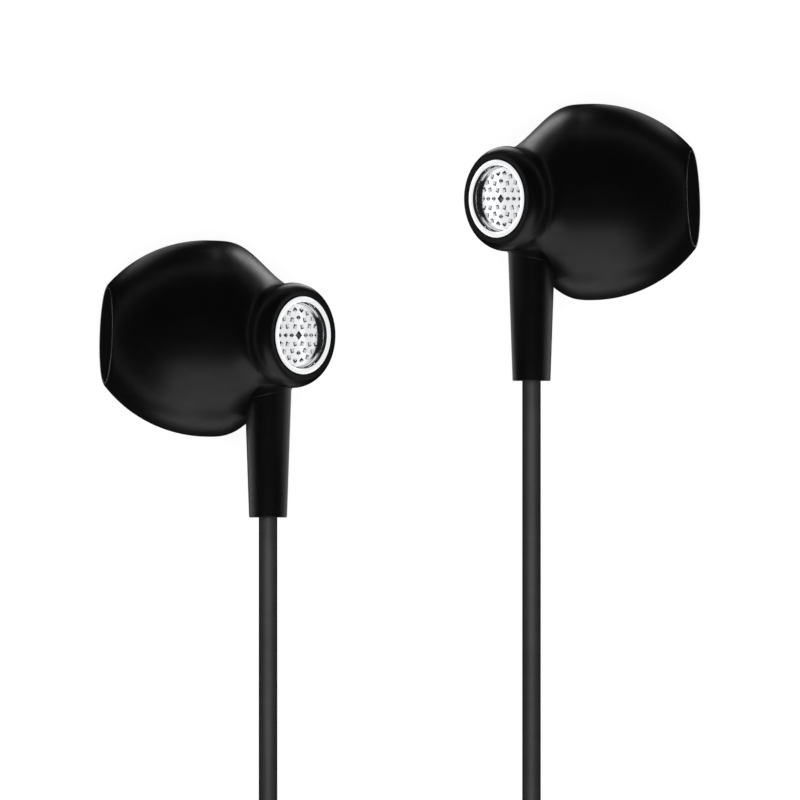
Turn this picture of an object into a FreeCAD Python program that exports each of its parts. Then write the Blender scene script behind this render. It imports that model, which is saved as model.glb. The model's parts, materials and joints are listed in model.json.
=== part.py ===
"""Wired half-in-ear earphones: two moulded buds with dynamic drivers, cords, Y splitter and plug.

The set lies on a table with the stems towards -Y. Units are millimetres, +Z is up, and the origin is
on the table under the middle of the two buds. Each bud is modelled in its own frame, the left one as
it lies and the right one as its mirror image, and then moved to its place. The driver and the rear
half of a bud stand on the driver axis, and the nozzle, its ring and its grille on the nozzle axis.
"""

import FreeCAD, Part
import math
import os
from FreeCAD import Matrix, Placement, Rotation, Vector

os.makedirs("parts", exist_ok=True)

# ---- driving sizes -------------------------------------------------------------------------------
# placing of the two buds
BUD_SPACING = 33.23            # between the two driver centres, across
BUD_OFFSET = 11.77             # the right bud lies this much further from the cords than the left one
LEFT_BUD_Y = -2.43             # the left driver centre from the origin
DRIVER_YAW = 7.5               # degrees, the driver axis dips to the table towards the nozzle
DRIVER_ROLL = 2.0              # degrees, the driver axis leans to the cords towards the nozzle
NOZZLE_PITCH = 45.5            # degrees, the nozzle axis rises from the table

# bud housing
BODY_RADIUS = 8.47             # at the widest section
REAR_LENGTH = 8.8              # widest section to the rear rim
REAR_RIM_RADIUS = 4.3
WALL = 0.9
REAR_STEPS = 5                 # conical bands of the rear half
PARTING = -2.2                 # where the rear shell meets the front shell, on the driver axis
LAP_LENGTH = 0.95              # tongue of the rear shell inside the front shell
LAP_CLEARANCE = 0.05
REAR_CAVITY_STRAIGHT = 1.0     # the rear cavity keeps the tongue's bore this far behind the parting
REAR_CAVITY_TAPER = 3.2        # and reaches its own wall this far behind it
REAR_CAVITY_WALL = 1.0         # wall of the rear half, square to the driver axis
NECK_RADIUS = 4.4              # where the housing has become a round nozzle
LIP_RADIUS = 4.57              # bead round the nozzle's mouth
NECK_BACK = 2.3                # neck section behind the nozzle's mouth
LIP_BACK = 0.85                # widest circle of the bead behind the mouth
LIP_SHOULDER = 0.17            # edge between the bead's two front chamfers, behind the mouth
LIP_SHOULDER_RADIUS = 4.32
LIP_MOUTH_RADIUS = 3.96        # outer edge of the flat mouth
MOUTH_X = 8.26                 # centre of the nozzle's mouth from the driver centre
MOUTH_Y = 0.28
NOZZLE_AXIS_X = 0.86           # where the nozzle axis passes the driver centre's level
FRONT_STEPS = 8                # bands of the front half
SECTION_POINTS = 12            # through which each oval section passes
FRONT_FULLNESS = 1.65          # exponent of the front's fall from body to neck: more is fuller
SHOULDER_REACH = 0.95          # how long the side away from the table keeps the direction of its two ends
CHIN_REACH = 5.5               # the same on the side towards the table
CHAMBER_STRAIGHT = 0.6         # the front chamber is straight this far past the driver's seat
CHAMBER_DEPTH = 3.4            # and has narrowed to the neck's bore here
NECK_BORE_RADIUS = 2.9
NECK_BORE_DEPTH = 7.6          # behind the mouth
NECK_OVERLAP = 0.3             # the nozzle's round end starts this far inside the neck

# nozzle ring, grille and mesh
RING_RADIUS = 3.38
RING_BORE_RADIUS = 2.72
RING_DEPTH = 1.1
RING_STEP = 0.3                # ledge inside the ring that carries the grille
RING_CHAMFER = 0.2
GRILLE_RECESS = 0.5
GRILLE_THICKNESS = 0.2
GRILLE_HOLE = 0.26             # side of a square perforation
GRILLE_PITCH = 0.68            # between rings of holes
GRILLE_START = 0.17            # added to every ring's radius, clear of the hole in the middle
GRILLE_RINGS = 3
GRILLE_CENTRE_HOLE = 0.56
MESH_THICKNESS = 0.12
RING_CLEARANCE = 0.02

# rear cap
CAP_RADIUS = 4.0
CAP_THICKNESS = 0.6
CAP_SKIRT_RADIUS = 3.2
CAP_SKIRT_LENGTH = 1.4
CAP_SKIRT_WALL = 0.6
CAP_CLEARANCE = 0.04
CAP_LAND = 0.35                # thickness of the rear shell under the cap's edge

# stem and cord anchor
STEM_X = 5.26
STEM_TOP_RADIUS = 2.05
STEM_END_RADIUS = 1.64
STEM_TAPER_TOP = 4.8           # below the bud's middle line, where the stem has its top radius
STEM_END_Y = -15.43
STEM_EDGE = 0.3
STEM_SPIGOT_RADIUS = 1.4
STEM_SPIGOT_TOP = -3.6
STEM_CLEARANCE = 0.05
WIRE_BORE_RADIUS = 0.53        # for the bare wires above the cord's end
ANCHOR_RADIUS = 1.1
ANCHOR_LENGTH = 1.2

# dynamic driver, all on the driver axis
DRIVER_RADIUS = 6.5
DRIVER_CLEARANCE = 0.05
LEDGE = 1.6                    # face of the front shell that the driver seats on
CLAMP_THICKNESS = 0.45
CLAMP_WIDTH = 0.7
RIM_THICKNESS = 0.15           # diaphragm film held under the clamp ring
FRAME_WALL = 0.6
FRAME_FLOOR = -0.9
FRAME_FLOOR_THICKNESS = 0.5
VENT_WIDTH = 0.9
VENT_COUNT = 4
CUP_RADIUS = 4.2
CUP_WALL = 0.5
CUP_BACK = -2.6
CUP_FRONT = 0.0
CUP_FLOOR = 0.6
MAGNET_RADIUS = 3.0
TOP_PLATE_RADIUS = 3.1
TOP_PLATE_THICKNESS = 0.6
COIL_RADIUS = 3.5
COIL_WALL = 0.25
COIL_BACK = -1.0
COIL_FRONT = 0.7
DOME_HEIGHT = 0.8
DOME_FLAT_RADIUS = 2.1
SURROUND_GAP = 0.08
FELT_THICKNESS = 0.2
BOARD_LENGTH = 3.6
BOARD_WIDTH = 2.2
BOARD_THICKNESS = 0.4

# cords
BRANCH_DIAMETER = 1.6
MAIN_DIAMETER = 2.0
CORD_SIDES = 4
ARC_REACH = 0.45               # share of the shorter run that a bend takes up
TURN_GAP = 0.48                # between the surfaces of neighbouring turns and layers
BRANCH_COIL_RADIUS = 9.0       # middle of the turns
MAIN_COIL_RADIUS = 12.0
CORD_IN_STEM = 6.0
CORD_GAP = 0.1                 # between the ends of cord solids that meet, and at the splitter
BRANCH_COIL_X = 12.6           # the branch coils lie this far each side of the middle
BRANCH_COIL_Y = -60.35
MAIN_COIL_X = -9.2
MAIN_COIL_Y = -90.4

# splitter
SPLITTER_X = 10.5
SPLITTER_TOP = -85.0
SPLITTER_LENGTH = 9.0
SPLITTER_WIDTH = 5.6
SPLITTER_HEIGHT = 3.4
SPLITTER_WAIST = 3.6           # the splitter keeps its full size down to here
SPLITTER_EDGE = 0.6            # length of the edge's taper where the branches enter
SPLITTER_EDGE_WIDTH = 5.2
SPLITTER_EDGE_HEIGHT = 3.05
SPLITTER_END_RADIUS = 1.5
SPLITTER_END_FLAT = 0.1
BRANCH_SPACING = 2.3

# plug
PLUG_X = 20.5
PLUG_TOP = -86.2
RELIEF_LENGTH = 7.0
RELIEF_START_RADIUS = 1.35
RELIEF_END_RADIUS = 2.5
RELIEF_RIBS = 3
RELIEF_GROOVE = 0.35
RIB_SHARE = 0.65
PLUG_BODY_LENGTH = 13.0
PLUG_BODY_RADIUS = 3.0
PLUG_EDGE = 0.4
PLUG_RADIUS = 1.75             # standard 3.5 mm contact
SLEEVE_LENGTH = 8.4
INSULATOR_LENGTH = 0.45
CONTACT_RING_LENGTH = 1.9
TIP_LENGTH = 2.8
TIP_LAND = 0.35
TIP_GROOVE = 0.5               # length of each flank of the latch groove
TIP_NECK_RADIUS = 1.25
TIP_SHOULDER_RADIUS = 1.5
TIP_END_RADIUS = 0.45

X = Vector(1, 0, 0)
Y = Vector(0, 1, 0)
Z = Vector(0, 0, 1)


# ---- shape helpers -------------------------------------------------------------------------------
def revolve(outline):
    """Solid of revolution about X from (x, radius) corners."""
    corners = [Vector(x, r, 0) for x, r in outline]
    face = Part.Face(Part.makePolygon(corners + corners[:1]))
    return face.revolve(Vector(0, 0, 0), X, 360)


def disc(radius, start, end):
    """Cylinder on the X axis between two positions."""
    return Part.makeCylinder(radius, end - start, Vector(start, 0, 0), X)


def washer(outer, inner, start, end):
    """Flat ring on the X axis."""
    return disc(outer, start, end).cut(disc(inner, start - 1, end + 1))


def arc_edge(start, middle, end):
    return Part.Arc(start, middle, end).toShape()


def one_solid(shape):
    """The single solid of a boolean's result, with its split faces joined."""
    shape = shape.removeSplitter()
    solids = shape.Solids
    if len(solids) != 1:
        raise ValueError("expected one solid, found %d" % len(solids))
    return solids[0]


# ---- frames of a bud -----------------------------------------------------------------------------
driver_place = Placement(Vector(0, 0, 0), Rotation(Z, -DRIVER_ROLL) * Rotation(Y, DRIVER_YAW))
nozzle_turn = Rotation(Y, -NOZZLE_PITCH)
nozzle_axis = nozzle_turn.multVec(X)
nozzle_side = nozzle_turn.multVec(Z)
mouth_z = (MOUTH_X - NOZZLE_AXIS_X) * math.tan(math.radians(NOZZLE_PITCH))
mouth = Vector(MOUTH_X, MOUTH_Y, mouth_z)
nozzle_place = Placement(mouth, nozzle_turn)
neck_centre = mouth - nozzle_axis * NECK_BACK
stem_z = (STEM_X - NOZZLE_AXIS_X) * math.tan(math.radians(NOZZLE_PITCH))
stem_place = Placement(Vector(STEM_X, 0, stem_z), Rotation(Z, -90))


def moved(shape, place):
    """A copy of a shape in another frame."""
    result = shape.copy()
    result.Placement = place.multiply(result.Placement)
    return result


# ---- housing -------------------------------------------------------------------------------------
rear_fall = BODY_RADIUS - REAR_RIM_RADIUS
rear_bulge = (REAR_LENGTH ** 2 + rear_fall ** 2) / (2 * rear_fall)


def rear_radius(x):
    """Outside radius of the rear half, an arc that leaves the widest section square to it."""
    return BODY_RADIUS - rear_bulge + math.sqrt(rear_bulge ** 2 - x ** 2)


def bezier(points, t):
    """Point of a cubic Bezier curve."""
    a, b, c, d = points
    s = 1 - t
    return a * s ** 3 + b * (3 * s * s * t) + c * (3 * s * t * t) + d * t ** 3


driver_axis = driver_place.Rotation.multVec(X)
driver_side = driver_place.Rotation.multVec(Z)
driver_lift = driver_place.Rotation.multVec(Y)
upper_curve = [
    driver_side * BODY_RADIUS,
    driver_side * BODY_RADIUS + driver_axis * SHOULDER_REACH,
    neck_centre + nozzle_side * NECK_RADIUS - nozzle_axis * SHOULDER_REACH,
    neck_centre + nozzle_side * NECK_RADIUS,
]
lower_curve = [
    driver_side * -BODY_RADIUS,
    driver_side * -BODY_RADIUS + driver_axis * CHIN_REACH,
    neck_centre - nozzle_side * NECK_RADIUS - nozzle_axis * CHIN_REACH,
    neck_centre - nozzle_side * NECK_RADIUS,
]


def section(centre, across, along):
    """Closed oval wire from its two half axes."""
    points = []
    for step in range(SECTION_POINTS):
        angle = 2 * math.pi * step / SECTION_POINTS
        points.append(centre + across * math.cos(angle) + along * math.sin(angle))
    curve = Part.BSplineCurve()
    curve.interpolate(Points=points, PeriodicFlag=True)
    return Part.Wire([curve.toShape()])


def front_form():
    """Outside of the front half: round at the parting, oval where it turns, round at the neck."""
    seam_radius = rear_radius(PARTING)
    wires = [section(driver_axis * PARTING, driver_side * seam_radius, driver_lift * seam_radius)]
    for step in range(FRONT_STEPS + 1):
        upper = bezier(upper_curve, step / FRONT_STEPS)
        lower = bezier(lower_curve, step / FRONT_STEPS)
        centre = (upper + lower) * 0.5
        share = centre.x / neck_centre.x
        fall = (1 + math.cos(math.pi * share ** FRONT_FULLNESS)) / 2
        length = NECK_RADIUS + (BODY_RADIUS - NECK_RADIUS) * fall
        lift = driver_lift + (Y - driver_lift) * (step / FRONT_STEPS)
        wires.append(section(centre, (upper - lower) * 0.5, lift * length))
    return Part.makeLoft(wires, True, True)


front = front_form()
rest_height = -front.optimalBoundingBox().ZMin

lap_radius = DRIVER_RADIUS + CLAMP_WIDTH + 4 * LAP_CLEARANCE
tongue_bore = DRIVER_RADIUS + 3 * LAP_CLEARANCE


def rear_shell():
    """Rear half with the tongue that laps into the front half and the seat of the cap."""
    outline = [(PARTING, 0)]
    for step in range(REAR_STEPS + 1):
        x = PARTING - (REAR_LENGTH + PARTING) * step / REAR_STEPS
        outline.append((x, rear_radius(x)))
    outline.append((-REAR_LENGTH, 0))
    first_step = PARTING - REAR_CAVITY_STRAIGHT
    second_step = PARTING - REAR_CAVITY_TAPER
    seat = -REAR_LENGTH + CAP_THICKNESS
    land = seat + CAP_LAND
    bore = CAP_SKIRT_RADIUS + CAP_CLEARANCE
    cavity = revolve([
        (PARTING + 1, 0), (PARTING + 1, tongue_bore), (first_step, tongue_bore),
        (second_step, rear_radius(second_step) - REAR_CAVITY_WALL), (land, bore + WALL), (land, bore),
        (seat, bore), (seat, CAP_RADIUS + CAP_CLEARANCE), (-REAR_LENGTH - 1, CAP_RADIUS + CAP_CLEARANCE),
        (-REAR_LENGTH - 1, 0),
    ])
    tongue = washer(lap_radius - LAP_CLEARANCE, tongue_bore, PARTING - WALL, PARTING + LAP_LENGTH)
    return moved(one_solid(revolve(outline).cut(cavity).fuse(tongue)), driver_place)


def nozzle_tip():
    """Round end of the nozzle with its bead, on the nozzle axis with the mouth at 0."""
    back = -NECK_BACK
    root = back - NECK_OVERLAP
    return revolve([
        (root, 0), (root, NECK_RADIUS - NECK_OVERLAP / 2), (back, NECK_RADIUS + RING_CLEARANCE),
        (-LIP_BACK, LIP_RADIUS), (-LIP_SHOULDER, LIP_SHOULDER_RADIUS), (0, LIP_MOUTH_RADIUS), (0, 0),
    ])


front_outside = front.fuse(moved(nozzle_tip(), nozzle_place))


def front_shell():
    """Front half: driver seat, front chamber, canted nozzle and the hole for the stem."""
    chamber = revolve([
        (PARTING - 1, 0), (PARTING - 1, lap_radius), (PARTING + LAP_LENGTH + LAP_CLEARANCE, lap_radius),
        (PARTING + LAP_LENGTH + LAP_CLEARANCE, DRIVER_RADIUS + DRIVER_CLEARANCE),
        (LEDGE, DRIVER_RADIUS + DRIVER_CLEARANCE), (LEDGE, DRIVER_RADIUS - CLAMP_WIDTH),
        (LEDGE + CHAMBER_STRAIGHT, DRIVER_RADIUS - CLAMP_WIDTH), (LEDGE + CHAMBER_DEPTH, NECK_BORE_RADIUS),
        (LEDGE + CHAMBER_DEPTH, 0),
    ])
    seat_depth = RING_DEPTH + MESH_THICKNESS
    nozzle_bore = revolve([
        (1, 0), (1, RING_RADIUS + RING_CLEARANCE), (-seat_depth, RING_RADIUS + RING_CLEARANCE),
        (-seat_depth, NECK_BORE_RADIUS), (-NECK_BORE_DEPTH, NECK_BORE_RADIUS), (-NECK_BORE_DEPTH, 0),
    ])
    stem_hole = disc(STEM_SPIGOT_RADIUS + STEM_CLEARANCE, 0, -STEM_END_Y / 2)
    shell = front_outside.cut(moved(chamber, driver_place)).cut(moved(nozzle_bore, nozzle_place))
    return one_solid(shell.cut(moved(stem_hole, stem_place)))


def rear_cap():
    """Closing disc with a skirt that plugs into the rear shell."""
    face = -REAR_LENGTH
    back = face + CAP_THICKNESS
    skirt_end = back + CAP_SKIRT_LENGTH
    skirt_bore = CAP_SKIRT_RADIUS - CAP_SKIRT_WALL
    return moved(revolve([
        (back, 0), (back, skirt_bore), (skirt_end, skirt_bore), (skirt_end, CAP_SKIRT_RADIUS),
        (back, CAP_SKIRT_RADIUS), (back, CAP_RADIUS), (face, CAP_RADIUS), (face, 0),
    ]), driver_place)


def stem_radius(x):
    """Outside radius of the stem at a distance from the bud's middle line."""
    share = (x - STEM_TAPER_TOP) / (-STEM_END_Y - STEM_TAPER_TOP)
    return STEM_TOP_RADIUS + (STEM_END_RADIUS - STEM_TOP_RADIUS) * share


def stem():
    """Tapered strain relief whose top follows the neck, with a spigot in the front shell."""
    end = -STEM_END_Y
    top = -STEM_SPIGOT_TOP
    taper = revolve([
        (top, 0), (top, stem_radius(top)), (end - STEM_EDGE, stem_radius(end - STEM_EDGE)),
        (end, stem_radius(end) - STEM_EDGE), (end, 0),
    ])
    outside = moved(taper, stem_place).cut(front_outside)
    outside = max(outside.Solids, key=lambda solid: solid.Volume)
    spigot = moved(disc(STEM_SPIGOT_RADIUS, top, end / 2), stem_place)
    cord_bore = disc(BRANCH_DIAMETER / 2 + STEM_CLEARANCE, end - CORD_IN_STEM, end + 1)
    wire_bore = disc(WIRE_BORE_RADIUS, top - 1, end)
    return one_solid(outside.fuse(spigot).cut(moved(cord_bore.fuse(wire_bore), stem_place)))


def cord_anchor():
    """Moulded knot on the wires above the spigot, which keeps a pull on the cord off the driver."""
    return moved(disc(ANCHOR_RADIUS, -STEM_SPIGOT_TOP - ANCHOR_LENGTH, -STEM_SPIGOT_TOP), stem_place)


# ---- nozzle ring, grille and mesh ----------------------------------------------------------------
def nozzle_ring():
    """Turned ring in the mouth, with a chamfered bore and a ledge under the grille."""
    ledge = -GRILLE_RECESS - GRILLE_THICKNESS
    bore = RING_BORE_RADIUS
    outline = [
        (0, RING_RADIUS), (0, bore + RING_CHAMFER), (-RING_CHAMFER, bore), (ledge, bore),
        (ledge, bore - RING_STEP), (-RING_DEPTH, bore - RING_STEP), (-RING_DEPTH, RING_RADIUS),
    ]
    return moved(revolve(outline), nozzle_place)


def grille():
    """Punched disc: one square hole on its corner in the middle and three rings of smaller ones."""
    plate = disc(RING_BORE_RADIUS - RING_CLEARANCE, -GRILLE_RECESS - GRILLE_THICKNESS, -GRILLE_RECESS)

    def punch(side, radius, angle, lean):
        cutter = Part.makeBox(4 * GRILLE_THICKNESS, side, side, Vector(0, -side / 2, -side / 2))
        cutter.rotate(Vector(0, 0, 0), X, lean)
        cutter.translate(Vector(-GRILLE_RECESS - 2 * GRILLE_THICKNESS, 0, radius))
        cutter.rotate(Vector(0, 0, 0), X, angle)
        return cutter

    punches = [punch(GRILLE_CENTRE_HOLE, 0, 0, 45)]
    for ring in range(1, GRILLE_RINGS + 1):
        radius = GRILLE_PITCH * ring + GRILLE_START
        for index in range(6 * ring):
            punches.append(punch(GRILLE_HOLE, radius, 60 * index / ring, 45))
    return moved(plate.cut(punches), nozzle_place)


def acoustic_mesh():
    """Woven damping disc clamped behind the ring."""
    return moved(disc(RING_RADIUS, -RING_DEPTH - MESH_THICKNESS, -RING_DEPTH), nozzle_place)


# ---- driver --------------------------------------------------------------------------------------
rim_face = LEDGE - CLAMP_THICKNESS
frame_front = rim_face - RIM_THICKNESS


def driver_frame():
    """Basket: a floor round the magnet cup with vents, and a wall that holds the diaphragm's rim."""
    floor_top = FRAME_FLOOR + FRAME_FLOOR_THICKNESS
    bore = DRIVER_RADIUS - FRAME_WALL
    basket = revolve([
        (FRAME_FLOOR, CUP_RADIUS), (FRAME_FLOOR, DRIVER_RADIUS), (frame_front, DRIVER_RADIUS),
        (frame_front, bore), (floor_top, bore), (floor_top, CUP_RADIUS),
    ])
    vent_middle = (CUP_RADIUS + bore) / 2
    vents = []
    for index in range(VENT_COUNT):
        vent = Part.makeBox(2, 2 * VENT_WIDTH, VENT_WIDTH, Vector(FRAME_FLOOR - 1, -VENT_WIDTH, 0))
        vent.translate(Vector(0, 0, vent_middle - VENT_WIDTH / 2))
        vent.rotate(Vector(0, 0, 0), X, 360 * (index + 0.5) / VENT_COUNT)
        vents.append(vent)
    return basket.cut(vents)


def magnet_cup():
    floor_top = CUP_FRONT - TOP_PLATE_THICKNESS - magnet_length
    return revolve([
        (CUP_BACK, 0), (CUP_BACK, CUP_RADIUS), (CUP_FRONT, CUP_RADIUS), (CUP_FRONT, CUP_RADIUS - CUP_WALL),
        (floor_top, CUP_RADIUS - CUP_WALL), (floor_top, 0),
    ])


magnet_length = CUP_FRONT - TOP_PLATE_THICKNESS - CUP_BACK - CUP_FLOOR


def magnet():
    front = CUP_FRONT - TOP_PLATE_THICKNESS
    return disc(MAGNET_RADIUS, front - magnet_length, front)


def top_plate():
    return disc(TOP_PLATE_RADIUS, CUP_FRONT - TOP_PLATE_THICKNESS, CUP_FRONT)


def voice_coil():
    return washer(COIL_RADIUS, COIL_RADIUS - COIL_WALL, COIL_BACK, COIL_FRONT)


def dome():
    """Stiff middle of the diaphragm, glued on the voice coil."""
    crown = COIL_FRONT + DOME_HEIGHT
    return revolve([
        (COIL_FRONT, COIL_RADIUS), (crown, DOME_FLAT_RADIUS), (crown, 0), (crown - RIM_THICKNESS, 0),
        (crown - RIM_THICKNESS, DOME_FLAT_RADIUS), (COIL_FRONT, COIL_RADIUS - COIL_WALL),
    ])


def surround():
    """Soft outer ring of the diaphragm, held at its rim and free at the dome's edge."""
    return washer(DRIVER_RADIUS, COIL_RADIUS + SURROUND_GAP, frame_front, rim_face)


def clamp_ring():
    return washer(DRIVER_RADIUS, DRIVER_RADIUS - CLAMP_WIDTH + LAP_CLEARANCE, rim_face, LEDGE)


def damping_felt():
    outer = DRIVER_RADIUS - FRAME_WALL / 2
    return washer(outer, CUP_RADIUS + CAP_CLEARANCE, FRAME_FLOOR - FELT_THICKNESS, FRAME_FLOOR)


def terminal_board():
    return Part.makeBox(BOARD_THICKNESS, BOARD_LENGTH, BOARD_WIDTH,
                        Vector(CUP_BACK - BOARD_THICKNESS, -BOARD_LENGTH / 2, -BOARD_WIDTH / 2))


# ---- cords ---------------------------------------------------------------------------------------
def corner_arc(start, corner, end):
    """Arc from start to end that touches both lines to the corner, which lies equally far from the two."""
    middle = (start + end) * 0.5
    half = (end - start).Length / 2
    cosine = half / (corner - start).Length
    return arc_edge(start, middle + (corner - middle) * (cosine / (1 + cosine)), end)


def route_edges(points, name):
    """Straight runs joined by the largest tangent arcs that they allow."""
    edges = []
    radii = []
    here = points[0]
    for before, corner, after in zip(points, points[1:], points[2:]):
        to_back = before - corner
        to_front = after - corner
        reach = ARC_REACH * min(to_back.Length, to_front.Length)
        turn = math.pi - to_back.getAngle(to_front)
        radii.append(round(reach / math.tan(turn / 2), 1))
        start = corner + to_back.normalize() * reach
        end = corner + to_front.normalize() * reach
        edges.append(Part.LineSegment(here, start).toShape())
        edges.append(corner_arc(start, corner, end))
        here = end
    edges.append(Part.LineSegment(here, points[-1]).toShape())
    print(name, "bend radii", radii)
    return edges


def biarc_edges(start, start_way, end, end_way):
    """Two tangent arcs between two points with given directions."""
    span = end - start
    cross = span.dot(start_way + end_way)
    spread = 2 * (1 - start_way.dot(end_way))
    reach = (math.sqrt(cross ** 2 + spread * span.dot(span)) - cross) / spread
    first = start + start_way * reach
    second = end - end_way * reach
    joint = (first + second) * 0.5
    return [corner_arc(start, first, joint), corner_arc(joint, second, end)]


class Coil:
    """Flat coil in layers: the turns spiral in and out and climb where the spiral reverses."""

    def __init__(self, centre, middle_radius, turns, layers, start_angle, sense, diameter):
        self.centre = centre
        self.middle_radius = middle_radius
        self.turns = turns
        self.layers = layers
        self.start_angle = math.radians(start_angle)
        self.sense = sense
        self.diameter = diameter
        self.pitch = diameter + TURN_GAP

    def place(self, share):
        """Centre line point at a share of the coil's length."""
        angle = 2 * math.pi * self.turns * share
        layer_angle = 2 * math.pi * self.turns / self.layers
        layer = min(int(angle / layer_angle), self.layers - 1)
        rate = self.pitch / (2 * math.pi)
        inward = angle - layer * layer_angle
        if layer % 2:
            inward = layer_angle - inward
        nearest = round(angle / layer_angle)
        offset = angle - nearest * layer_angle
        height = layer * self.pitch
        soften = 0.0
        if 0 < nearest < self.layers and abs(offset) < math.pi / 2:
            climb = (offset + math.pi / 2) / math.pi
            height = (nearest - 1 + (1 - math.cos(math.pi * climb)) / 2) * self.pitch
            soften = rate * (offset ** 2 / math.pi + math.pi / 4 - abs(offset))
            if nearest % 2 == 0:
                soften = -soften
        radius = self.middle_radius + rate * layer_angle / 2 - rate * inward + soften
        heading = self.start_angle + self.sense * angle
        return self.centre + Vector(radius * math.cos(heading), radius * math.sin(heading),
                                    self.diameter / 2 + height)

    def way(self, share):
        """Unit direction of the centre line."""
        step = 1e-5
        return (self.place(min(share + step, 1.0)) - self.place(max(share - step, 0.0))).normalize()

    def start(self):
        """Outer end of the straight lead into the first turn."""
        return self.before(0.0)

    def end(self):
        """Outer end of the straight lead out of the last turn."""
        return self.after(0.0)

    def before(self, gap):
        """Point that far ahead of the lead into the first turn."""
        return self.place(0.0) - self.way(0.0) * (self.diameter + gap)

    def after(self, gap):
        """Point that far past the lead out of the last turn."""
        return self.place(1.0) + self.way(1.0) * (self.diameter + gap)

    def edges(self):
        steps = math.ceil(4 * self.turns)
        edges = [Part.LineSegment(self.start(), self.place(0.0)).toShape()]
        for index in range(steps):
            share = index / steps
            after = (index + 1) / steps
            edges += biarc_edges(self.place(share), self.way(share), self.place(after), self.way(after))
        edges.append(Part.LineSegment(self.place(1.0), self.end()).toShape())
        return edges

    def least_gap(self, edges):
        """Least distance between the surfaces of different turns, measured on points of the centre line."""
        points = []
        for edge in edges[1:-1]:
            points += edge.discretize(Number=7)[:-1]
        apart = int(len(points) / self.turns * 0.6)
        spans = [(b - a).Length for i, a in enumerate(points) for b in points[i + apart:]]
        return min(spans) - self.diameter


def tube(edges, diameter, name):
    """Faceted cord along a path of edges, its corners on the cord's true diameter."""
    path = Part.Wire(edges)
    start = edges[0].valueAt(edges[0].FirstParameter)
    way = edges[0].tangentAt(edges[0].FirstParameter)
    side = way.cross(Z).normalize()
    rise = side.cross(way)
    corners = []
    for index in range(CORD_SIDES + 1):
        angle = 2 * math.pi * (index + 0.5) / CORD_SIDES
        corners.append(start + (side * math.sin(angle) + rise * math.cos(angle)) * (diameter / 2))
    profile = Part.makePolygon(corners)
    solid = path.makePipeShell([profile], True, False)
    area = CORD_SIDES * math.sin(2 * math.pi / CORD_SIDES) * diameter ** 2 / 8
    print("%s length %.1f, volume over section times length %.4f, valid %s"
          % (name, path.Length, solid.Volume / (area * path.Length), solid.isValid()))
    return solid.Solids[0]


left_centre = Vector(-BRANCH_COIL_X, BRANCH_COIL_Y, 0)
right_centre = Vector(BRANCH_COIL_X, BRANCH_COIL_Y, 0)
main_centre = Vector(MAIN_COIL_X, MAIN_COIL_Y, 0)
left_coil = Coil(left_centre, BRANCH_COIL_RADIUS, 4 + 150 / 360, 2, 120, 1, BRANCH_DIAMETER)
right_coil = Coil(right_centre, BRANCH_COIL_RADIUS, 4 + 95 / 360, 2, 130, 1, BRANCH_DIAMETER)
main_coil = Coil(main_centre, MAIN_COIL_RADIUS, 10 + 190 / 360, 4, -80, -1, MAIN_DIAMETER)

branch_floor = BRANCH_DIAMETER / 2
main_floor = MAIN_DIAMETER / 2
stem_height = rest_height + stem_z
stem_across = BUD_SPACING / 2 - STEM_X
left_end = LEFT_BUD_Y + STEM_END_Y
right_end = left_end + BUD_OFFSET
splitter_height = SPLITTER_HEIGHT / 2
splitter_end = SPLITTER_TOP - SPLITTER_LENGTH
left_entry = SPLITTER_X - BRANCH_SPACING / 2
right_entry = SPLITTER_X + BRANCH_SPACING / 2

left_cord_route = [
    Vector(-stem_across, left_end + CORD_IN_STEM, stem_height),
    Vector(-stem_across, left_end - 3.6, stem_height),
    Vector(-stem_across, left_end - 18.6, branch_floor),
    Vector(-stem_across, -46.4, branch_floor),
    left_coil.before(CORD_GAP),
]
right_cord_route = [
    Vector(stem_across, right_end + CORD_IN_STEM, stem_height),
    Vector(stem_across, right_end - 3.6, stem_height),
    Vector(stem_across, right_end - 18.6, branch_floor),
    Vector(stem_across, -46.8, branch_floor),
    right_coil.before(CORD_GAP),
]
left_tail_route = [
    left_coil.after(CORD_GAP),
    Vector(-5.5, -71.4, 2.6),
    Vector(0.8, -73.2, branch_floor),
    Vector(5.6, -75.0, branch_floor),
    Vector(8.6, -78.2, 1.2),
    Vector(left_entry, SPLITTER_TOP + 3.8, splitter_height),
    Vector(left_entry, SPLITTER_TOP + CORD_GAP, splitter_height),
]
right_tail_route = [
    right_coil.after(CORD_GAP),
    Vector(9.2, -72.3, 1.9),
    Vector(right_entry, -78.5, 1.2),
    Vector(right_entry, SPLITTER_TOP + CORD_GAP, splitter_height),
]
main_cord_route = [
    Vector(SPLITTER_X, splitter_end - CORD_GAP, splitter_height),
    Vector(SPLITTER_X, splitter_end - 4.8, main_floor),
    Vector(7.4, splitter_end - 8.9, main_floor),
    Vector(0.4, splitter_end - 10.54, main_floor),
    main_coil.before(CORD_GAP),
]
plug_cord_route = [
    main_coil.after(CORD_GAP),
    Vector(2.0, -75.2, 8.2),
    Vector(9.0, -74.9, 6.3),
    Vector(14.8, -75.6, 4.0),
    Vector(18.9, -78.6, 3.1),
    Vector(PLUG_X, -82.6, PLUG_BODY_RADIUS),
    Vector(PLUG_X, PLUG_TOP, PLUG_BODY_RADIUS),
]


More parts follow.
